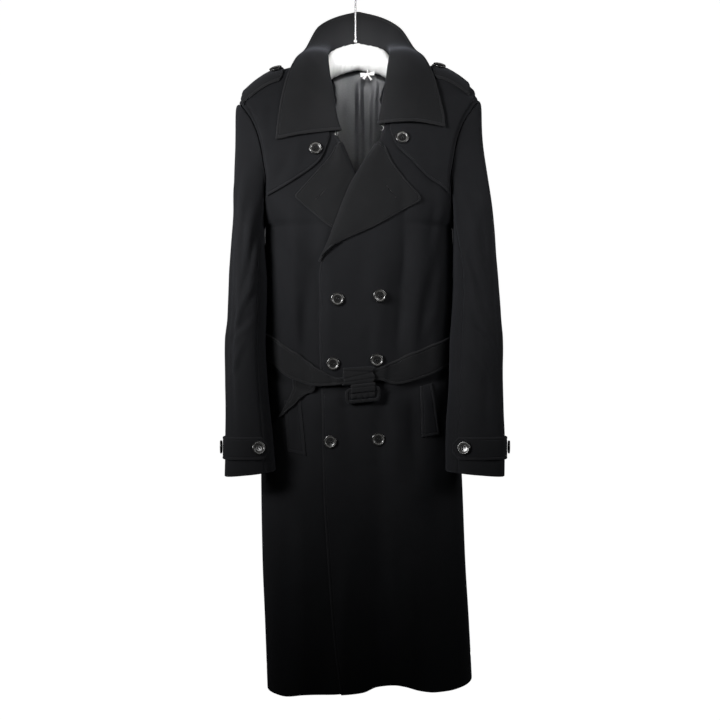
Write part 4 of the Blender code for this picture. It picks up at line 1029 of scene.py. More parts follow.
def lapel(name, edge_table, table, side, under_out):
    """A lapel folds round the front's edge and lies on it, from the gorge to the break."""
    radius = WOOL / 2 + 0.6 + DOUBLE_WOOL
    rows = []
    flats = []
    for row in spline(table.astype(float), np.linspace(0, len(table) - 1, 90)):
        roll = np.array([float(smooth(edge_table, row[0])), row[0]])
        across = row[1:] - roll
        length = np.linalg.norm(across)
        across = across / length
        share = (row[0] - table[0, 0]) / (table[-1, 0] - table[0, 0])
        lift = LAPEL_LIFT * (1 - share) + 0.4
        flat = []
        out = []
        slope = float(smooth(edge_table, row[0] + 2) - smooth(edge_table, row[0] - 2)) / 4
        square = side * np.array((1.0, -slope)) / math.hypot(1.0, slope)
        for angle in np.linspace(0, LAPEL_ROLL_DEGREES, 12):
            turn = math.radians(angle)
            flat.append(roll - square * radius * math.cos(turn))
            out.append(radius * math.sin(turn) - WOOL / 2)
        for reach in np.concatenate([[0.03], np.linspace(0.06, 1, 50)]):
            place = roll + across * length * reach
            rise = lift * math.sin(math.pi * min(1, reach + 0.25)) ** 2
            if side < 0:
                rise = rise * float(smoothstep(6, 26, smooth(OVER_EDGE, place[1]) - place[0]))
            flat.append(place)
            out.append(radius - WOOL / 2 + 0.5 + rise)
        x, z = np.array(flat).T
        flats.append(flat)
        rows.append(on_body(x, z, -1, np.array(out) + under_out(x, z)))
    rows, flats = np.array(rows), np.array(flats)
    shift = rows[..., (0, 2)] - flats
    for _ in range(LAPEL_SMOOTHING):
        framed = np.concatenate([shift[:1], shift, shift[-1:]])
        shift = (framed[:-2] + 2 * shift + framed[2:]) / 4
    rows[..., (0, 2)] = flats + shift
    grid = even_grid(rows, (EDGE_MARKS, SEAM_MARKS, 3.4), ((0, 1.0, 2.2), EDGE_MARKS, 3.2))
    return cloth(name, grid, DOUBLE_WOOL, "facing", flip=side < 0, stitched=("top", "right"))


def collar():
    """The collar: a stand, a roll and a broad fall, stitched round its free edges."""
    rows = []
    for k in np.concatenate([-np.linspace(1, 0, 110)[:-1], np.linspace(0, 1, 110)]):
        table = COLLAR_LEFT if k < 0 else COLLAR_RIGHT
        points = np.array([smooth(table, abs(k), c) for c in range(1, 13)]).reshape(4, 3)
        rows.append(spline(points, np.linspace(0, 3, 64)))
    grid = even_grid(rows, (EDGE_MARKS, EDGE_MARKS, 4.2), (SEAM_MARKS, EDGE_MARKS, 3.4))
    far = distances(grid)
    relief = 0.55 * ripple(far["top"], far["left"], 0.6)
    relief = relief + creases(COLLAR_CREASES, far["top"], far["left"])
    relief = relief * np.minimum(1, far["right"] / 30)
    cloth("collar", grid, DOUBLE_WOOL, "facing", stitched=("top", "foot", "right"), seams=("left",),
          relief=relief)


def storm_flap(name, table, side):
    """A flap over the chest from the shoulder to its free edge, along the armhole."""
    out = WOOL + LAYER_GAP + (1.6 if side > 0 else 1.4)
    rows = []
    path = spline(table.astype(float), np.linspace(0, len(table) - 1, 60))
    foot_x, foot_z = path[:, 0], path[:, 1]
    armhole = side_x(foot_z, side)
    mix = (foot_x - armhole) / (inner_x(foot_z, side) - armhole)
    for share in np.concatenate([np.linspace(0.008, 0.1, 8), np.linspace(0.12, 1, 56)]):
        reach = reach_at(foot_x, foot_z) * share
        x = foot_x
        for _ in range(6):
            z = level_at(x, reach)
            x = side_x(z, side) * (1 - mix) + inner_x(z, side) * mix
        lap = over_out(x, z) if side > 0 else 0 * z
        rows.append(body_point(x, reach, -1, out + lap))
    grid = even_grid(rows, (SEAM_MARKS, EDGE_MARKS, 4.0), (SEAM_MARKS, SEAM_MARKS, 4.0))
    cloth(name, grid, WOOL, "wool", flip=side > 0, stitched=("foot",), seams=("left",))


def inner_x(z, side):
    """A storm flap's inner edge at a height."""
    inner = smooth(STORM_INNER, z)
    return inner + 12 if side > 0 else -(inner - 2)


def epaulette(name, side):
    """A strap along the shoulder, just in front of its ridge."""
    rows = []
    outer, inner = (-203, -129) if side < 0 else (205, 137)
    for share in np.linspace(0, 1, 40):
        trim = 6 * float(smoothstep(0.86, 1.0, share))
        place = np.linspace(0, 1, 24)
        reach = -2 + 47 * place + trim * (1 - 2 * place) * 0.9
        x = outer + (inner - outer) * (share - 0.05 * trim / 6 * np.abs(2 * place - 1))
        above = np.full(24, 2 * WOOL + 2 * LAYER_GAP + 2.0)
        before, behind = [body_point(x, np.abs(reach), face, above) for face in (-1, 1)]
        rows.append(np.where(reach[:, None] > 0, before, behind))
    grid = even_grid(rows, (SEAM_MARKS, EDGE_MARKS, 3.0), (EDGE_MARKS, EDGE_MARKS, 2.6))
    cloth(name, grid, WOOL + 0.4, "facing", flip=side < 0, stitched=("foot", "left", "right"),
          seams=("top",))


def cuff_strap(name, side):
    """A strap round the front of a cuff, with a pointed end."""
    turns = np.radians(np.concatenate([np.linspace(-62, 110, 80), np.linspace(112, 138, 24)]))
    rows = []
    for place in np.linspace(0, 1, 26):
        tip = smoothstep(math.radians(122), math.radians(138), turns)
        z = STRAP_TOP + (STRAP_FOOT - STRAP_TOP) * place + (0.5 - place) * -24 * tip
        share = sleeve_share(side, turns, z)
        rows.append(on_sleeve(side, turns, share, LAYER_GAP + WOOL + 0.8))
    rows = np.array(rows).transpose(1, 0, 2)
    grid = even_grid(rows, (EDGE_MARKS, EDGE_MARKS, 3.2), (EDGE_MARKS, EDGE_MARKS, 2.8))
    cloth(name, grid, WOOL + 0.4, "wool", flip=side < 0, stitched=("foot", "left", "right"))


def belt_row(place, count):
    """One closed line of the belt round the waist, place 0 at its upper edge and 1 at its lower."""
    loop = []
    for face in (-1, 1):
        place_x = 2 * (EASED if face < 0 else EASED[::-1]) - 1
        x = side_x(WAIST_Z, place_x)
        z = belt_front_z(x, place)
        if face > 0:
            level = BELT_BACK[0] * (1 - place) + BELT_BACK[1] * place
            z = level + (z - level) * smoothstep(125, 160, np.abs(x - CENTRE_X))
        x = side_x(z, place_x)
        points = base(x, reach_at(x, z), face)
        stand = np.where(face < 0, front_out_smooth(x, z) + belt_stand(x), 0)
        loop.append(np.column_stack([points, stand]))
    points = np.vstack([loop[0][:-1], loop[1][:-1]])
    along = np.roll(points[:, :2], -1, axis=0) - np.roll(points[:, :2], 1, axis=0)
    normal = unit(np.column_stack([along[:, 1], -along[:, 0]]))
    sides = smoothstep(132, 158, np.abs(points[:, 0] - CENTRE_X))
    out = points[:, 3] + DOUBLE_WOOL + BELT_GAP * (1 - 0.7 * sides)
    points[:, :2] += normal * out[:, None]
    closed = np.vstack([points[:, :3], points[:1, :3]])
    return along_line(closed, np.linspace(0, lengths_along(closed)[-1], count + 1)[:-1])


def front_out_smooth(x, z):
    return over_out(x, z) * smoothstep(-84, -70, x)


def belt_stand(x):
    """The belt stands off its own free end, which hangs down behind it."""
    tail = 4.6 * smoothstep(-140, -122, x) * smoothstep(-30, -50, x)
    knot = 5.5 * smoothstep(-44, -30, x) * smoothstep(62, 48, x)
    return tail + knot


# Creases of the belt, which gather towards its turn: x and share of its width, twice, half width, depth.
# x is divided by the scale, so that both count alike.
BELT_SCALE = 60
BELT_CREASES = (
    (-118, 0.62, -34, 0.46, 0.13, 0.8), (-92, 0.30, -30, 0.30, 0.11, -0.9),
    (-80, 0.84, -32, 0.66, 0.1, -0.8), (108, 0.55, 44, 0.40, 0.13, 0.8),
    (94, 0.26, 42, 0.24, 0.1, -0.8), (86, 0.82, 44, 0.62, 0.1, -0.9),
)


def belt():
    """The belt: a closed band round the waist, its free end, and rows of stitches along its edges."""
    shares = np.linspace(0, 1, 26)
    rows = np.array([belt_row(place, 380) for place in shares])
    grid = relay(rows, EDGE_MARKS, EDGE_MARKS, 2.6)
    far = distances(grid)
    share = far["top"] / (far["top"] + far["foot"])
    table = [(a / BELT_SCALE, b, c / BELT_SCALE, d, w, h) for a, b, c, d, w, h in BELT_CREASES]
    relief = creases(table, grid[..., 0] / BELT_SCALE, share)
    relief = relief * (grid[..., 1] < 0) * np.minimum(1, np.minimum(far["top"], far["foot"]) / 9)
    relief = relief + 0.3 * ripple(grid[..., 2] * 2, grid[..., 0], 0.4)
    cloth("belt", grid, DOUBLE_WOOL, "facing", ring=True, stitched=("top", "foot"), relief=relief)
    rows = []
    for share in np.linspace(0, 1, 60):
        x0, z0, x1, z1, away = [float(smooth(BELT_TAIL, share, c)) for c in range(1, 6)]
        x = np.linspace(x0, x1, 22)
        z = np.linspace(z0, z1, 22)
        rows.append(on_body(x, z, -1, DOUBLE_WOOL + 0.6 + away + front_out_smooth(x, z)))
    grid = even_grid(rows, (SEAM_MARKS, EDGE_MARKS, 3.2), (EDGE_MARKS, EDGE_MARKS, 2.6))
    cloth("belt_tail", grid, DOUBLE_WOOL, "facing", stitched=("foot", "left", "right"))


def belt_wrap(level):
    """The belt's turn round itself, in three deep folds."""
    wrap = np.array([
        (-1.5, -741), (2.5, -739.8), (5.2, -743), (5.6, -750), (6.4, -757), (6.8, -763), (5.8, -768.4),
        (2.8, -771), (-0.5, -771.8)])
    curve = spline(wrap, np.linspace(0, len(wrap) - 1, 70))
    across = np.linspace(-22, 33, 60)
    rows = np.array([[(x, level - out - 2.1 + 0.02 * abs(x - 6), z + 0.06 * (x - 6)) for x in across]
                     for out, z in curve])
    x, z = rows[..., 0], rows[..., 2]
    relief = np.zeros(x.shape)
    for slope, middle, tall in ((-0.03, -747.0, 1.9), (0.22, -754.0, 2.1), (0.16, -762.5, 1.6)):
        line = middle + slope * (x - 6)
        relief -= tall * np.exp(-np.abs(z - line) / 2.4) * (z < line)
        relief -= tall * np.exp(-np.abs(z - line) / 0.5) * (z >= line)
    relief = relief + 0.3 * np.sin((z + 0.18 * x) / 1.9) * bell(z, -757, 9)
    rows[..., 0] = 6 + (x - 6) * (1 + 0.035 * np.sin(z / 3.1 + 0.4)) + 0.8 * np.sin(z / 4.7)
    cloth("belt_wrap", rows, DOUBLE_WOOL - 0.4, "facing", relief=relief)


def belt_turn(level):
    """The cloth that comes down out of the turn and gathers over the buckle's upper bar."""
    turn_down = np.array([
        (10.8, -768.9), (10.9, -774), (10.7, -780), (10.3, -783.6), (8.4, -787), (7.6, -791),
        (7.0, -795.2)])
    curve = spline(turn_down, np.linspace(0, len(turn_down) - 1, 44))
    across = np.linspace(-8, 35.5, 56)
    rows = np.array([[(x, level - out, z + buckle_slope(x)) for x in across] for out, z in curve])
    x, z = rows[..., 0], rows[..., 2]
    level_z = z - buckle_slope(x)
    gather = 1.5 * np.abs(np.sin((x + 8) * math.pi / 10.9)) * smoothstep(-786.5, -789, level_z)
    relief = gather - 2.0 * bell(level_z, -785.6, 1.2)
    relief = relief - 0.9 * bell(level_z, -775, 1.1) - 1.6 * bell(level_z, -794.4, 0.9)
    cloth("belt_turn", rows, DOUBLE_WOOL - 0.8, "facing", relief=relief)


def buckle_slope(x):
    """The buckle hangs a little askew."""
    return 0.1 * (x - 12)


def buckle_frame(level):
    """The buckle's frame, wound with cloth: a tube round a rectangle with round corners."""
    corners = []
    for cx, cz, start in ((36.5, -794.5, -90), (36.5, -783.5, 0), (-9.5, -783.5, 90), (-9.5, -794.5, 180)):
        for angle in np.linspace(0, 90, 10):
            turn = math.radians(start + angle)
            corners.append((cx + 5 * math.cos(turn), cz + 5 * math.sin(turn)))
    corners = np.array(corners + corners[:1])
    line = along_line(corners, np.linspace(0, line_length(corners), 221)[:-1])
    x, z = line.T
    centre = np.column_stack([x, np.full(len(line), level - 4.2), z + buckle_slope(x)])
    forward = unit(np.roll(centre, -1, axis=0) - np.roll(centre, 1, axis=0))
    outward = unit(np.cross(forward, np.array((0.0, 1.0, 0.0))))
    front = np.array((0.0, -1.0, 0.0))
    rings = []
    lengths = np.arange(len(centre)) * line_length(centre) / len(centre)
    for turn in np.linspace(0, 2 * math.pi, 25)[:-1]:
        sine, cosine = math.sin(turn), math.cos(turn)
        size = 3.4 + 0.16 * np.sin(lengths / 1.1 + 2.2 * sine) + 0.12 * np.sin(lengths / 0.63 + turn)
        size = size - 0.35 * bell(math.sin(turn / 2 - math.pi / 4), 0, 0.08)
        rings.append(centre + outward * (cosine * size)[:, None] + front * (sine * size)[:, None])
    frame_tube = tube("buckle_cloth", np.array(rings).transpose(1, 0, 2), "facing", closed=True)
    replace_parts(frame_tube, "buckle")


def buckle():
    """The belt's turn round itself, and below it the cloth-covered buckle that holds its end."""
    x, z = 6.0, -756.0
    out = DOUBLE_WOOL + BELT_GAP + 5.5
    level = float(on_body(x, z, -1, out + front_out_smooth(x, z))[..., 1])
    belt_wrap(level)
    belt_turn(level)
    buckle_frame(level)


def tube(name, rings, kind, closed=False):
    """A tube through rings of points, in mm, closed in a loop or capped at both ends."""
    count, sides = rings.shape[:2]
    index = np.arange(count * sides).reshape(count, sides)
    index = np.hstack([index, index[:, :1]])
    if closed:
        index = np.vstack([index, index[:1]])
    a, b, c, d = grid_faces(index)
    faces = np.stack([a, d, c, b], -1).reshape(-1, 4)
    points = rings.reshape(-1, 3)
    if not closed:
        points = np.vstack([points, rings[0].mean(0), rings[-1].mean(0)])
        first, last = len(points) - 2, len(points) - 1
        cap = [(first, index[0, j + 1], index[0, j], index[0, j]) for j in range(sides)]
        cap += [(last, index[-1, j], index[-1, j + 1], index[-1, j + 1]) for j in range(sides)]
    lengths = lengths_along(rings.mean(1))
    flat = np.stack(np.broadcast_arrays(np.arange(sides), lengths[:, None]), -1).reshape(-1, 2)
    if not closed:
        flat = np.vstack([flat, [0, 0], [0, lengths[-1]]])
    obj = mesh_piece(name, points, faces, kind, flat, np.zeros(len(points)))
    if not closed:
        work = bmesh.new()
        work.from_mesh(obj.data)
        work.verts.ensure_lookup_table()
        for face in cap:
            kept = list(dict.fromkeys(int(k) for k in face))
            work.faces.new([work.verts[k] for k in kept])
        bmesh.ops.recalc_face_normals(work, faces=work.faces)
        work.to_mesh(obj.data)
        work.free()
        obj.data.shade_smooth()
    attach(obj, "root")
    return obj


def wire_rings(path, radius, sides=16):
    """Rings round a path, kept from twisting."""
    path = np.asarray(path, float)
    forward = unit(np.gradient(path, axis=0))
    across = np.zeros_like(path)
    guide = np.array((0.0, 1.0, 0.0)) if abs(forward[0, 1]) < 0.9 else np.array((1.0, 0.0, 0.0))
    for i in range(len(path)):
        guide = guide - forward[i] * float(guide @ forward[i])
        guide = guide / np.linalg.norm(guide)
        across[i] = guide
    up = np.cross(forward, across)
    turns = np.linspace(0, 2 * math.pi, sides + 1)[:-1]
    radius = np.broadcast_to(np.asarray(radius, float), (len(path),))
    return np.stack([path + (across * math.cos(t) + up * math.sin(t)) * radius[:, None] for t in turns], 1)


def pocket_welt(name, corners):
    """A small flat piece on the front, between four corners in x and z."""
    a, b, c, d = [np.array(p, float) for p in corners]
    rows = []
    for v in np.linspace(0, 1, 60):
        left, right = a + (b - a) * v, d + (c - d) * v
        points = np.array([left + (right - left) * u for u in np.linspace(0, 1, 24)])
        lap = front_out_smooth(points[:, 0], points[:, 1])
        rows.append(on_body(points[:, 0], points[:, 1], -1, WOOL + 1.0 + lap))
    grid = even_grid(rows, (EDGE_MARKS, EDGE_MARKS, 3.2), (EDGE_MARKS, EDGE_MARKS, 2.8))
    cloth(name, grid, WOOL, "wool", stitched=("foot", "left", "right"))


# How far the holes of a button are from its middle, along both its axes
HOLE_AT = 2.1


def button_mesh():
    """A turned button with a round rim, a dished middle and four holes."""
    profile = [
        (0, 0.0), (6.0, 0.0), (9.2, 0.15), (11.0, 0.8), (11.9, 1.9), (12.0, 2.5), (11.8, 3.2), (11.2, 3.8),
        (10.4, 4.1), (9.6, 4.05), (9.0, 3.75), (8.5, 3.3), (7.9, 2.95), (7.0, 2.7), (5.0, 2.45),
        (2.5, 2.3), (0, 2.25)]
    line = spline(np.array(profile), np.linspace(0, len(profile) - 1, 65))
    line[:, 0] = np.maximum(line[:, 0], 0)
    line[0], line[-1] = profile[0], profile[-1]
    mesh = bpy.data.meshes.new("button_shape")
    work = bmesh.new()
    steps = 48
    rings = []
    turns = [2 * math.pi * k / steps for k in range(steps)]
    for r, h in line[1:-1] * MM:
        rings.append([work.verts.new((r * math.cos(t), r * math.sin(t), h)) for t in turns])
    low = work.verts.new((0, 0, line[0][1] * MM))
    high = work.verts.new((0, 0, line[-1][1] * MM))
    for a, b in zip(rings, rings[1:]):
        for k in range(steps):
            j = (k + 1) % steps
            work.faces.new((a[k], a[j], b[j], b[k]))
    for k in range(steps):
        j = (k + 1) % steps
        work.faces.new((low, rings[0][j], rings[0][k]))
        work.faces.new((high, rings[-1][k], rings[-1][j]))
    work.to_mesh(mesh)
    work.free()
    body_of_button = new_object("button_shape", mesh)
    drill = bpy.data.meshes.new("button_drill")
    work = bmesh.new()
    radius = 1.05 * MM
    for x, y in ((1, 1), (-1, 1), (1, -1), (-1, -1)):
        made = bmesh.ops.create_cone(work, cap_ends=True, segments=20, radius1=radius, radius2=radius,
                                     depth=12 * MM)
        bmesh.ops.translate(work, verts=made["verts"], vec=(x * HOLE_AT * MM, y * HOLE_AT * MM, 0))
    work.to_mesh(drill)
    work.free()
    cutter = new_object("button_drill", drill)
    holes = body_of_button.modifiers.new("holes", "BOOLEAN")
    holes.operation = "DIFFERENCE"
    holes.object = cutter
    holes.solver = "EXACT"
    bpy.context.view_layer.update()
    deps = bpy.context.evaluated_depsgraph_get()
    made = bpy.data.meshes.new_from_object(body_of_button.evaluated_get(deps))
    bpy.data.objects.remove(body_of_button)
    bpy.data.objects.remove(cutter)
    made.name = "button_drilled"
    made.materials.clear()
    made.materials.append(material("button"))
    made.shade_smooth()
    made.set_sharp_from_angle(angle=math.radians(38))
    return made


def thread_mesh():
    """The threads that hold a button: two bars across its holes, and the shank's ends under them."""
    rings = []
    mesh = bpy.data.meshes.new("button_thread")
    work = bmesh.new()
    for side in (-1, 1):
        for strand in (-0.42, 0.0, 0.42):
            path = []
            for t in np.linspace(0, 1, 16):
                x = side * HOLE_AT + strand * (0.8 + 0.4 * math.sin(math.pi * t))
                y = HOLE_AT * (1 - 2 * t)
                z = 2.62 + 0.45 * math.sin(math.pi * t) ** 0.5 - 1.6 * (abs(2 * t - 1) ** 6)
                path.append((x, y, z))
            rings.append(wire_rings(path, 0.27, 8))
    for ring_set in rings:
        points = [[work.verts.new(np.array(p) * MM) for p in ring] for ring in ring_set]
        for a, b in zip(points, points[1:]):
            for j in range(8):
                k = (j + 1) % 8
                work.faces.new((a[j], a[k], b[k], b[j]))
        work.faces.new(points[0][::-1])
        work.faces.new(points[-1])
    bmesh.ops.recalc_face_normals(work, faces=work.faces)
    work.to_mesh(mesh)
    work.free()
    mesh.shade_smooth()
    mesh.materials.append(material("thread"))
    return mesh


def button_on(shapes, name, surface, out, spin):
    """A button and its threads on a surface, which gives the point at a height above it."""
    inside, outside = np.array(surface(0.0)), np.array(surface(out))
    normal = unit(outside - inside)
    for suffix, mesh in (("", shapes[0]), ("_thread", shapes[1])):
        obj = new_object(name + (suffix or "_horn"), mesh)
        obj.location = Vector(outside) * MM
        obj.rotation_mode = "QUATERNION"
        obj.rotation_quaternion = Vector(normal).to_track_quat("Z", "Y") @ Quaternion((0, 0, 1), spin)
        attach(obj, "root")
        if not suffix:
            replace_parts(obj, name)


def buttons():
    shapes = (button_mesh(), thread_mesh())
    spins = iter(BUTTON_SPINS)

    def on_front(name, x, z, lift, above):
        button_on(shapes, name, lambda out: on_body(x, z, -1, lift + out), above, next(spins))

    for i, (x, z) in enumerate(FRONT_BUTTONS):
        word = ("top", "waist", "low")[i // 2] + ("_right" if i % 2 == 0 else "_left")
        on_front(f"button_{word}", x, z, float(front_out_smooth(x, z)), 1.1 if i < 4 else 0.3)
    for x, z, word in STORM_BUTTONS:
        lift = float(over_out(x, z)) if x > 0 else 0.0
        above = WOOL + LAYER_GAP + (1.9 if x < 0 else 2.4)
        on_front(f"button_storm_{word}", x, z, lift, above)
    for x, word in SHOULDER_BUTTONS:
        above = 2 * WOOL + 2 * LAYER_GAP + 2.1
        button_on(shapes, f"button_shoulder_{word}", lambda out: body_point(x, 17.0, -1, out), above,
                  next(spins))
    for side, word in SIDES:
        for turn, place in ((math.radians(112), "front"), (math.radians(4), "side")):
            share = sleeve_share(side, turn, CUFF_BUTTON_Z)
            button_on(shapes, f"button_cuff_{word}_{place}", lambda out: on_sleeve(side, turn, share, out),
                      LAYER_GAP + WOOL + 1.5, next(spins))


def on_surface(outer, normal, x, z):
    """The point of a piece's front-facing surface at an x and z."""
    facing = normal[..., 1].ravel() < -0.25
    points, ups = outer.reshape(-1, 3)[facing], normal.reshape(-1, 3)[facing]
    gap = (points[:, 0] - x) ** 2 + (points[:, 2] - z) ** 2
    near = np.argsort(gap)[:5]
    weight = 1 / (gap[near] + 0.05)
    weight = weight / weight.sum()
    up = unit(ups[near].T @ weight)
    return np.array((x, float(points[near, 1] @ weight), z)), up


def buttonhole(name, surface, start, end, eye=2.0):
    """A keyhole buttonhole: a slit with a round eye, drawn as a thin sheet coloured with painted shade, and
    close stitches round it.
    """
    start, end = np.array(start, float), np.array(end, float)
    length = np.linalg.norm(end - start)
    forward = (end - start) / length
    across = np.array((-forward[1], forward[0]))
    rim = [start + forward * t + across * 0.45 for t in np.linspace(0, length - eye, 18)]
    for turn in np.radians(np.linspace(100, -100, 18)):
        rim.append(end + (forward * math.cos(turn) + across * math.sin(turn)) * eye * 0.72)
    rim += [start + forward * t - across * 0.45 for t in np.linspace(length - eye, 0, 18)]
    placed = [on_surface(*surface, *p) for p in rim]
    centre_line = [on_surface(*surface, *(start + forward * t)) for t in np.linspace(0, length, 54)]
    points = [p + up * 0.12 for p, up in placed + centre_line]
    count = len(placed)
    spine = np.concatenate([np.linspace(0, 46, 18), np.full(18, 49), np.linspace(46, 0, 18)]).astype(int)
    faces = []
    for i in range(count):
        j = (i + 1) % count
        faces.append((i, j, count + spine[j], count + spine[i]))
    faces = [f for f in faces if len(set(f)) == 4]
    # The slit's near-black colour is painted shade, standing in for the dark inside the opening.
    obj = mesh_piece(f"slit_{name}", np.array(points), np.array(faces), "hole")
    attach(obj, "root")
    loop = np.array([np.concatenate([p, up]) for p, up in placed])
    total = line_length(loop[:, :3])
    points = []
    for at in np.arange(0.3, total - 0.3, 0.85):
        here, ahead = along_line(loop, np.array([at, at + 0.2]))
        up = unit(here[3:])
        out = unit(np.cross(ahead[:3] - here[:3], up))
        to_middle = np.array((0.5 * (start + end)[0], here[1], 0.5 * (start + end)[1])) - here[:3]
        if out @ to_middle > 0 and at < total * 0.3:
            out = -out
        a, b = here[:3] - out * 0.1, here[:3] + out * 1.5
        side_way = unit(np.cross(b - a, up)) * 0.3
        centre = (a + b) / 2
        points.append([a, b, centre + side_way, centre + up * 0.42, centre - side_way, centre - up * 0.1])
    stitches.setdefault(name, []).append(np.array(points))


def hanger():
    """The padded hanger: satin gathered along its length, so that fine folds run round the pad."""
    along = np.concatenate([-np.linspace(1, 0, 150)[:-1], np.linspace(0, 1, 150)])
    rings = []
    sides = 72
    for x in along:
        rounded = math.sqrt(max(0, 1 - max(0, (abs(x) - 0.9) / 0.1) ** 2)) if abs(x) < 1 else 0.1
        place = CENTRE_X + x * PAD_HALF_LENGTH
        top = float(smooth(PAD_TOP, abs(place - CENTRE_X))) + LEAN * (place - CENTRE_X)
        middle = top - PAD_HALF_HEIGHT
        ring = []
        for step in range(sides):
            turn = 2 * math.pi * step / sides
            gather = (0.5 * math.sin(place / 1.9 + 0.9 * math.sin(turn * 2 + place / 17))
                      + 0.35 * math.sin(place / 1.13 + 1.3 * math.sin(turn * 3 + 1.0) + 2.0)
                      + 0.5 * math.sin(turn * 5 + place / 9.0))
            size = (1 - 0.018 * (1 + math.sin(place / 23.0))) * rounded
            depth = PAD_HALF_DEPTH * size + 0.55 * gather * rounded - 0.8
            tall = PAD_HALF_HEIGHT * size + 0.55 * gather * rounded - 0.8
            ring.append((place, max(depth, 0.3) * math.cos(turn), middle + max(tall, 0.3) * math.sin(turn)))
        rings.append(ring)
    pad = tube("pad_satin", np.array(rings), "satin")
    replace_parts(pad, "hanger_pad")


def hook():
    """The wire hook, its tip tapered, in a small cuff of satin where it leaves the pad."""
    radius = HOOK_RADIUS
    middle = WIRE / 2 - radius
    foot = PAD_TOP[0, 1] - 0.2
    points = [(0, 0, z) for z in np.linspace(foot, -64, 14)]
    points += [(0.35, 0, -61.5), (1.0, 0, -59), (2.3, 0, -56), (4.0, 0, -53)]
    for angle in np.linspace(-62, 196, 90):
        turn = math.radians(angle)
        points.append((radius * math.cos(turn), 0, middle + radius * math.sin(turn)))
    points = np.array(points)
    points = points[::2]
    path = spline(points, np.linspace(0, len(points) - 1, 200))
    size = np.full(len(path), WIRE / 2)
    size[-6:] *= (0.98, 0.93, 0.85, 0.72, 0.5, 0.2)
    obj = tube("hook_wire", wire_rings(path, size), "wire")
    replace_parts(obj, "hanger_hook")
    ferrule_path = [(0, 0, z) for z in np.linspace(foot + 0.5, foot + 5.5, 12)]
    sizes = [1.7, 2.6, 3.1, 3.2, 3.2, 3.2, 3.1, 3.1, 3.0, 2.8, 2.3, 1.7]
    ferrule = tube("hook_ferrule", wire_rings(ferrule_path, sizes), "satin")
    ferrule.parent = obj


def ribbon(path, wide, thick, tilt):
    """Points of a flat band along a path, as rings of eight: two long faces with rounded edges."""
    path = np.asarray(path, float)
    forward = unit(np.gradient(path, axis=0))
    tilt = np.asarray(tilt, float)
    side = unit(tilt - forward * np.sum(tilt * forward, axis=1, keepdims=True))
    up = np.cross(forward, side)
    wide = np.broadcast_to(np.asarray(wide, float), (len(path),))[:, None]
    ring = []
    section = ((1, 0.5), (0.94, 1), (-0.94, 1), (-1, 0.5), (-1, -0.5), (-0.94, -1), (0.94, -1), (1, -0.5))
    for a, b in section:
        ring.append(path + side * a * wide / 2 + up * b * thick / 2)
    return np.stack(ring, 1)


def bow():
    """A small satin ribbon bow under the pad: two loops, a knot and two short ends."""
    centre = np.array((22.0, -11.0, -201.0))
    for sign in (-1, 1):
        loop = []
        for t in np.linspace(0, 1, 48):
            turn = 2 * math.pi * t
            loop.append(centre + (sign * 12.6 * math.sin(turn / 2) ** 1.3, -2.6 * math.sin(turn),
                                  (1.2 - 2.6 * (sign < 0)) * math.sin(turn / 2)))
        word = "left" if sign > 0 else "right"
        flare = 3.0 + 4.6 * np.sin(np.linspace(0, math.pi, 48)) ** 1.5
        tilt = np.tile((0.10 * sign, 0.12, 1.0), (48, 1))
        tube(f"bow_loop_{word}", ribbon(loop, flare, 0.8, tilt), "satin")
        tail = []
        for t in np.linspace(0, 1, 30):
            y, z = -1.8 + 0.9 * math.sin(5 * t), -1.5 - (8.5 + sign) * t
            tail.append(centre + (sign * (1 + 6.5 * t), y, z))
        tilt = np.tile((0.9, 0.2, -0.3 * sign), (30, 1))
        tube(f"bow_end_{word}", ribbon(tail, np.linspace(2.8, 5.0, 30), 0.7, tilt), "satin")
    knot = [centre + (x, -0.6, 0.4 * x) for x in np.linspace(-2.8, 2.8, 14)]
    sizes = 3.1 * np.sin(np.linspace(0.45, math.pi - 0.45, 14)) ** 0.5
    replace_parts(tube("bow_knot", wire_rings(knot, sizes), "satin"), "ribbon_bow")
    hold = [np.array((22.0, -9.6, z)) for z in np.linspace(-192.6, -200.0, 12)]
    tube("bow_tie", wire_rings(hold, 1.2, 10), "satin")


def neck_fasteners():
    """The small wire hook at one end of the collar and the eye at the other."""
    for name, x, z in (("neck_hook", 50.0, -311.0), ("neck_eye", -33.5, -322.0)):
        y = float(on_body(x, z, -1, WOOL + 7.5)[..., 1])
        path = []
        for t in np.linspace(0, 1, 50):
            if name == "neck_hook":
                turn = math.pi * 1.15 * t
                sine = math.sin(turn)
                path.append((x - 3.0 + 3.4 * sine, y - 1.0 * sine, z + 4.2 * math.cos(turn)))
            else:
                turn = 2 * math.pi * (0.06 + 0.88 * t)
                path.append((x + 2.4 * math.sin(turn), y - 0.6, z + 3.6 * math.cos(turn)))
        tube(name, wire_rings(path, 0.42, 10), "wire")


def floor_material():
    """Pale paper, lit evenly: what the camera sees of it glows a little, so that it stays pale."""
    n = Nodes("looks_floor")
    grain = n.noise(n.coordinates("Object"), 3.0, 2.0, 0.5)
    seen = n.tree.nodes.new("ShaderNodeLightPath").outputs["Is Camera Ray"]
    n.set(Base_Color=n.blend(grain, (0.50, 0.50, 0.50), (0.52, 0.52, 0.52)), Roughness=0.8,
          Specular_IOR_Level=0.1, Emission_Color=(1, 1, 1, 1), Emission_Strength=seen)
    return n.material


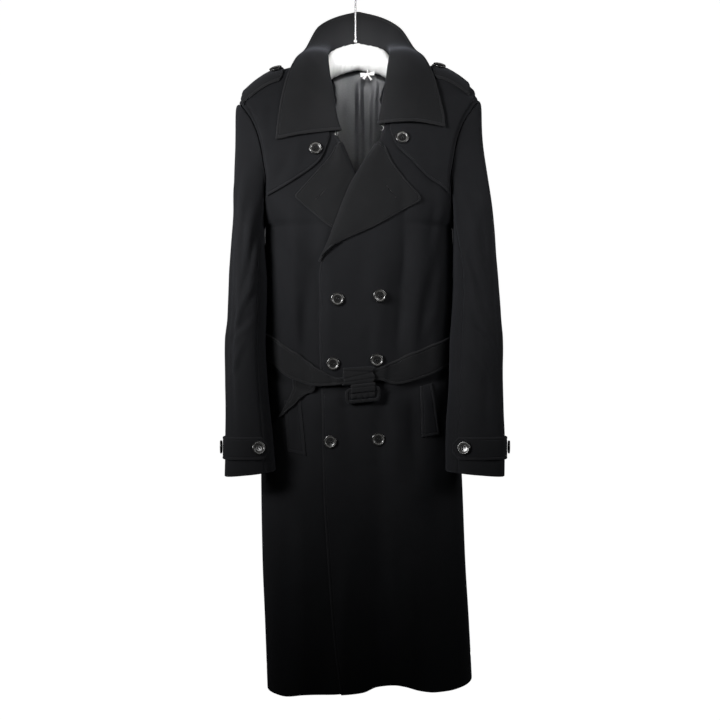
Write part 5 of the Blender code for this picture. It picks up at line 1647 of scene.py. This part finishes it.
# Lamps: name, place, aim, width and height in metres, power in watts, spread in degrees
LAMPS = (
    ("key", (-1.25, -1.4, -0.05), (-0.02, 0, -0.47), (0.7, 0.6), 1.65, 38),
    ("fill", (1.2, -1.5, 0.0), (0.05, 0, -0.42), (0.8, 0.6), 0.55, 38),
    ("rim_left", (-1.5, -0.1, -0.1), (-0.2, 0, -0.45), (0.5, 0.9), 0.6, 60),
    ("rim_right", (1.6, -0.1, -0.1), (0.2, 0, -0.45), (0.5, 0.9), 0.5, 60),
    ("back", (0.2, 1.6, -0.1), (0, 0, -0.45), (1.2, 0.9), 1.6, 70),
    ("pad_light", (0.0, -1.5, -0.02), (0.008, 0, -0.145), (0.10, 0.04), 0.07, 8),
    ("throat_light", (0.02, -1.5, -0.2), (0.01, 0, -0.275), (0.05, 0.08), 0.024, 8),
)

# The floor's height, where it starts to curve, the curve's radius, and the wall's top, in metres
FLOOR_Z = -1.52
FLOOR_BACK = 2.2
WALL_CURVE = 1.6
WALL_TOP = 4.0

CAMERA_PLACE = (0.008325, -2.6, -0.7272)
CAMERA_LENS = 70.3


def stage():
    """A pale floor that curves up into a wall behind the coat, soft lights and the camera."""
    profile = [(-6.0, FLOOR_Z), (0.0, FLOOR_Z), (FLOOR_BACK, FLOOR_Z)]
    for t in np.linspace(0.1, math.pi / 2, 16):
        profile.append((FLOOR_BACK + WALL_CURVE * math.sin(t), FLOOR_Z + WALL_CURVE * (1 - math.cos(t))))
    wall = FLOOR_BACK + WALL_CURVE
    profile += [(wall, 1.2), (wall, WALL_TOP)]
    grid = np.array([[(x, y, z) for x in np.linspace(-7, 7, 15)] for y, z in profile])
    index = np.arange(grid.shape[0] * grid.shape[1]).reshape(grid.shape[:2])
    a, b, c, d = grid_faces(index)
    faces = np.stack([a, d, c, b], -1).reshape(-1, 4)
    mesh = bpy.data.meshes.new("studio_floor")
    mesh.from_pydata(grid.reshape(-1, 3).tolist(), [], faces.tolist())
    mesh.shade_smooth()
    mesh.materials.append(floor_material())
    new_object("studio_floor", mesh)
    for lamp in LAMPS:
        add_lamp(*lamp)
    set_world()
    set_camera()


def add_lamp(name, place, aim, size, power, spread):
    data = bpy.data.lights.new(name, "AREA")
    data.shape = "RECTANGLE"
    data.size, data.size_y = size
    data.energy = power
    data.spread = math.radians(spread)
    obj = new_object(name, data)
    obj.location = place
    obj.rotation_mode = "QUATERNION"
    obj.rotation_quaternion = (Vector(aim) - Vector(place)).to_track_quat("-Z", "Y")
    obj.visible_camera = False


def set_world():
    """White behind everything, and almost no light from it on the coat."""
    world = bpy.data.worlds.new("studio")
    bpy.context.scene.world = world
    world.use_nodes = True
    tree = world.node_tree
    path = tree.nodes.new("ShaderNodeLightPath")
    dim = tree.nodes.new("ShaderNodeMapRange")
    dim.inputs["To Min"].default_value = 0.012
    dim.inputs["To Max"].default_value = 1.02
    tree.links.new(path.outputs["Is Camera Ray"], dim.inputs["Value"])
    tree.links.new(dim.outputs[0], tree.nodes["Background"].inputs[1])
    tree.nodes["Background"].inputs[0].default_value = (1, 1, 1, 1)


def set_camera():
    data = bpy.data.cameras.new("camera")
    data.lens = CAMERA_LENS
    data.sensor_width = 36.0
    camera = new_object("camera", data)
    camera.location = CAMERA_PLACE
    camera.rotation_euler = (math.pi / 2, 0, 0)
    bpy.context.scene.camera = camera
    bpy.context.scene.view_settings.view_transform = "Standard"


body()
back_lining()
sleeves()
over_lapel = lapel("lapel_left", OVER_EDGE, OVER_LAPEL, 1, over_out)
under_lapel = lapel("lapel_right", UNDER_EDGE, UNDER_LAPEL, -1, no_out)
collar()
storm_flap("storm_flap_left", STORM_LEFT, 1)
storm_flap("storm_flap_right", STORM_RIGHT, -1)
for make, kind_of_strap in ((epaulette, "epaulette"), (cuff_strap, "cuff_strap")):
    for wearer_side, side_word in SIDES:
        make(f"{kind_of_strap}_{side_word}", wearer_side)
belt()
buckle()
for welt_name, welt_corners in POCKET_WELTS:
    pocket_welt(welt_name, welt_corners)
buttonhole("lapel_left", over_lapel, (53.8, -417.1), (71.3, -437.9))
buttonhole("lapel_right", under_lapel, (-53.3, -421.9), (-69.6, -439.6))
buttons()
hanger()
hook()
bow()
neck_fasteners()
for piece_name, stitch_rows in stitches.items():
    make_stitches(piece_name, stitch_rows)
stage()
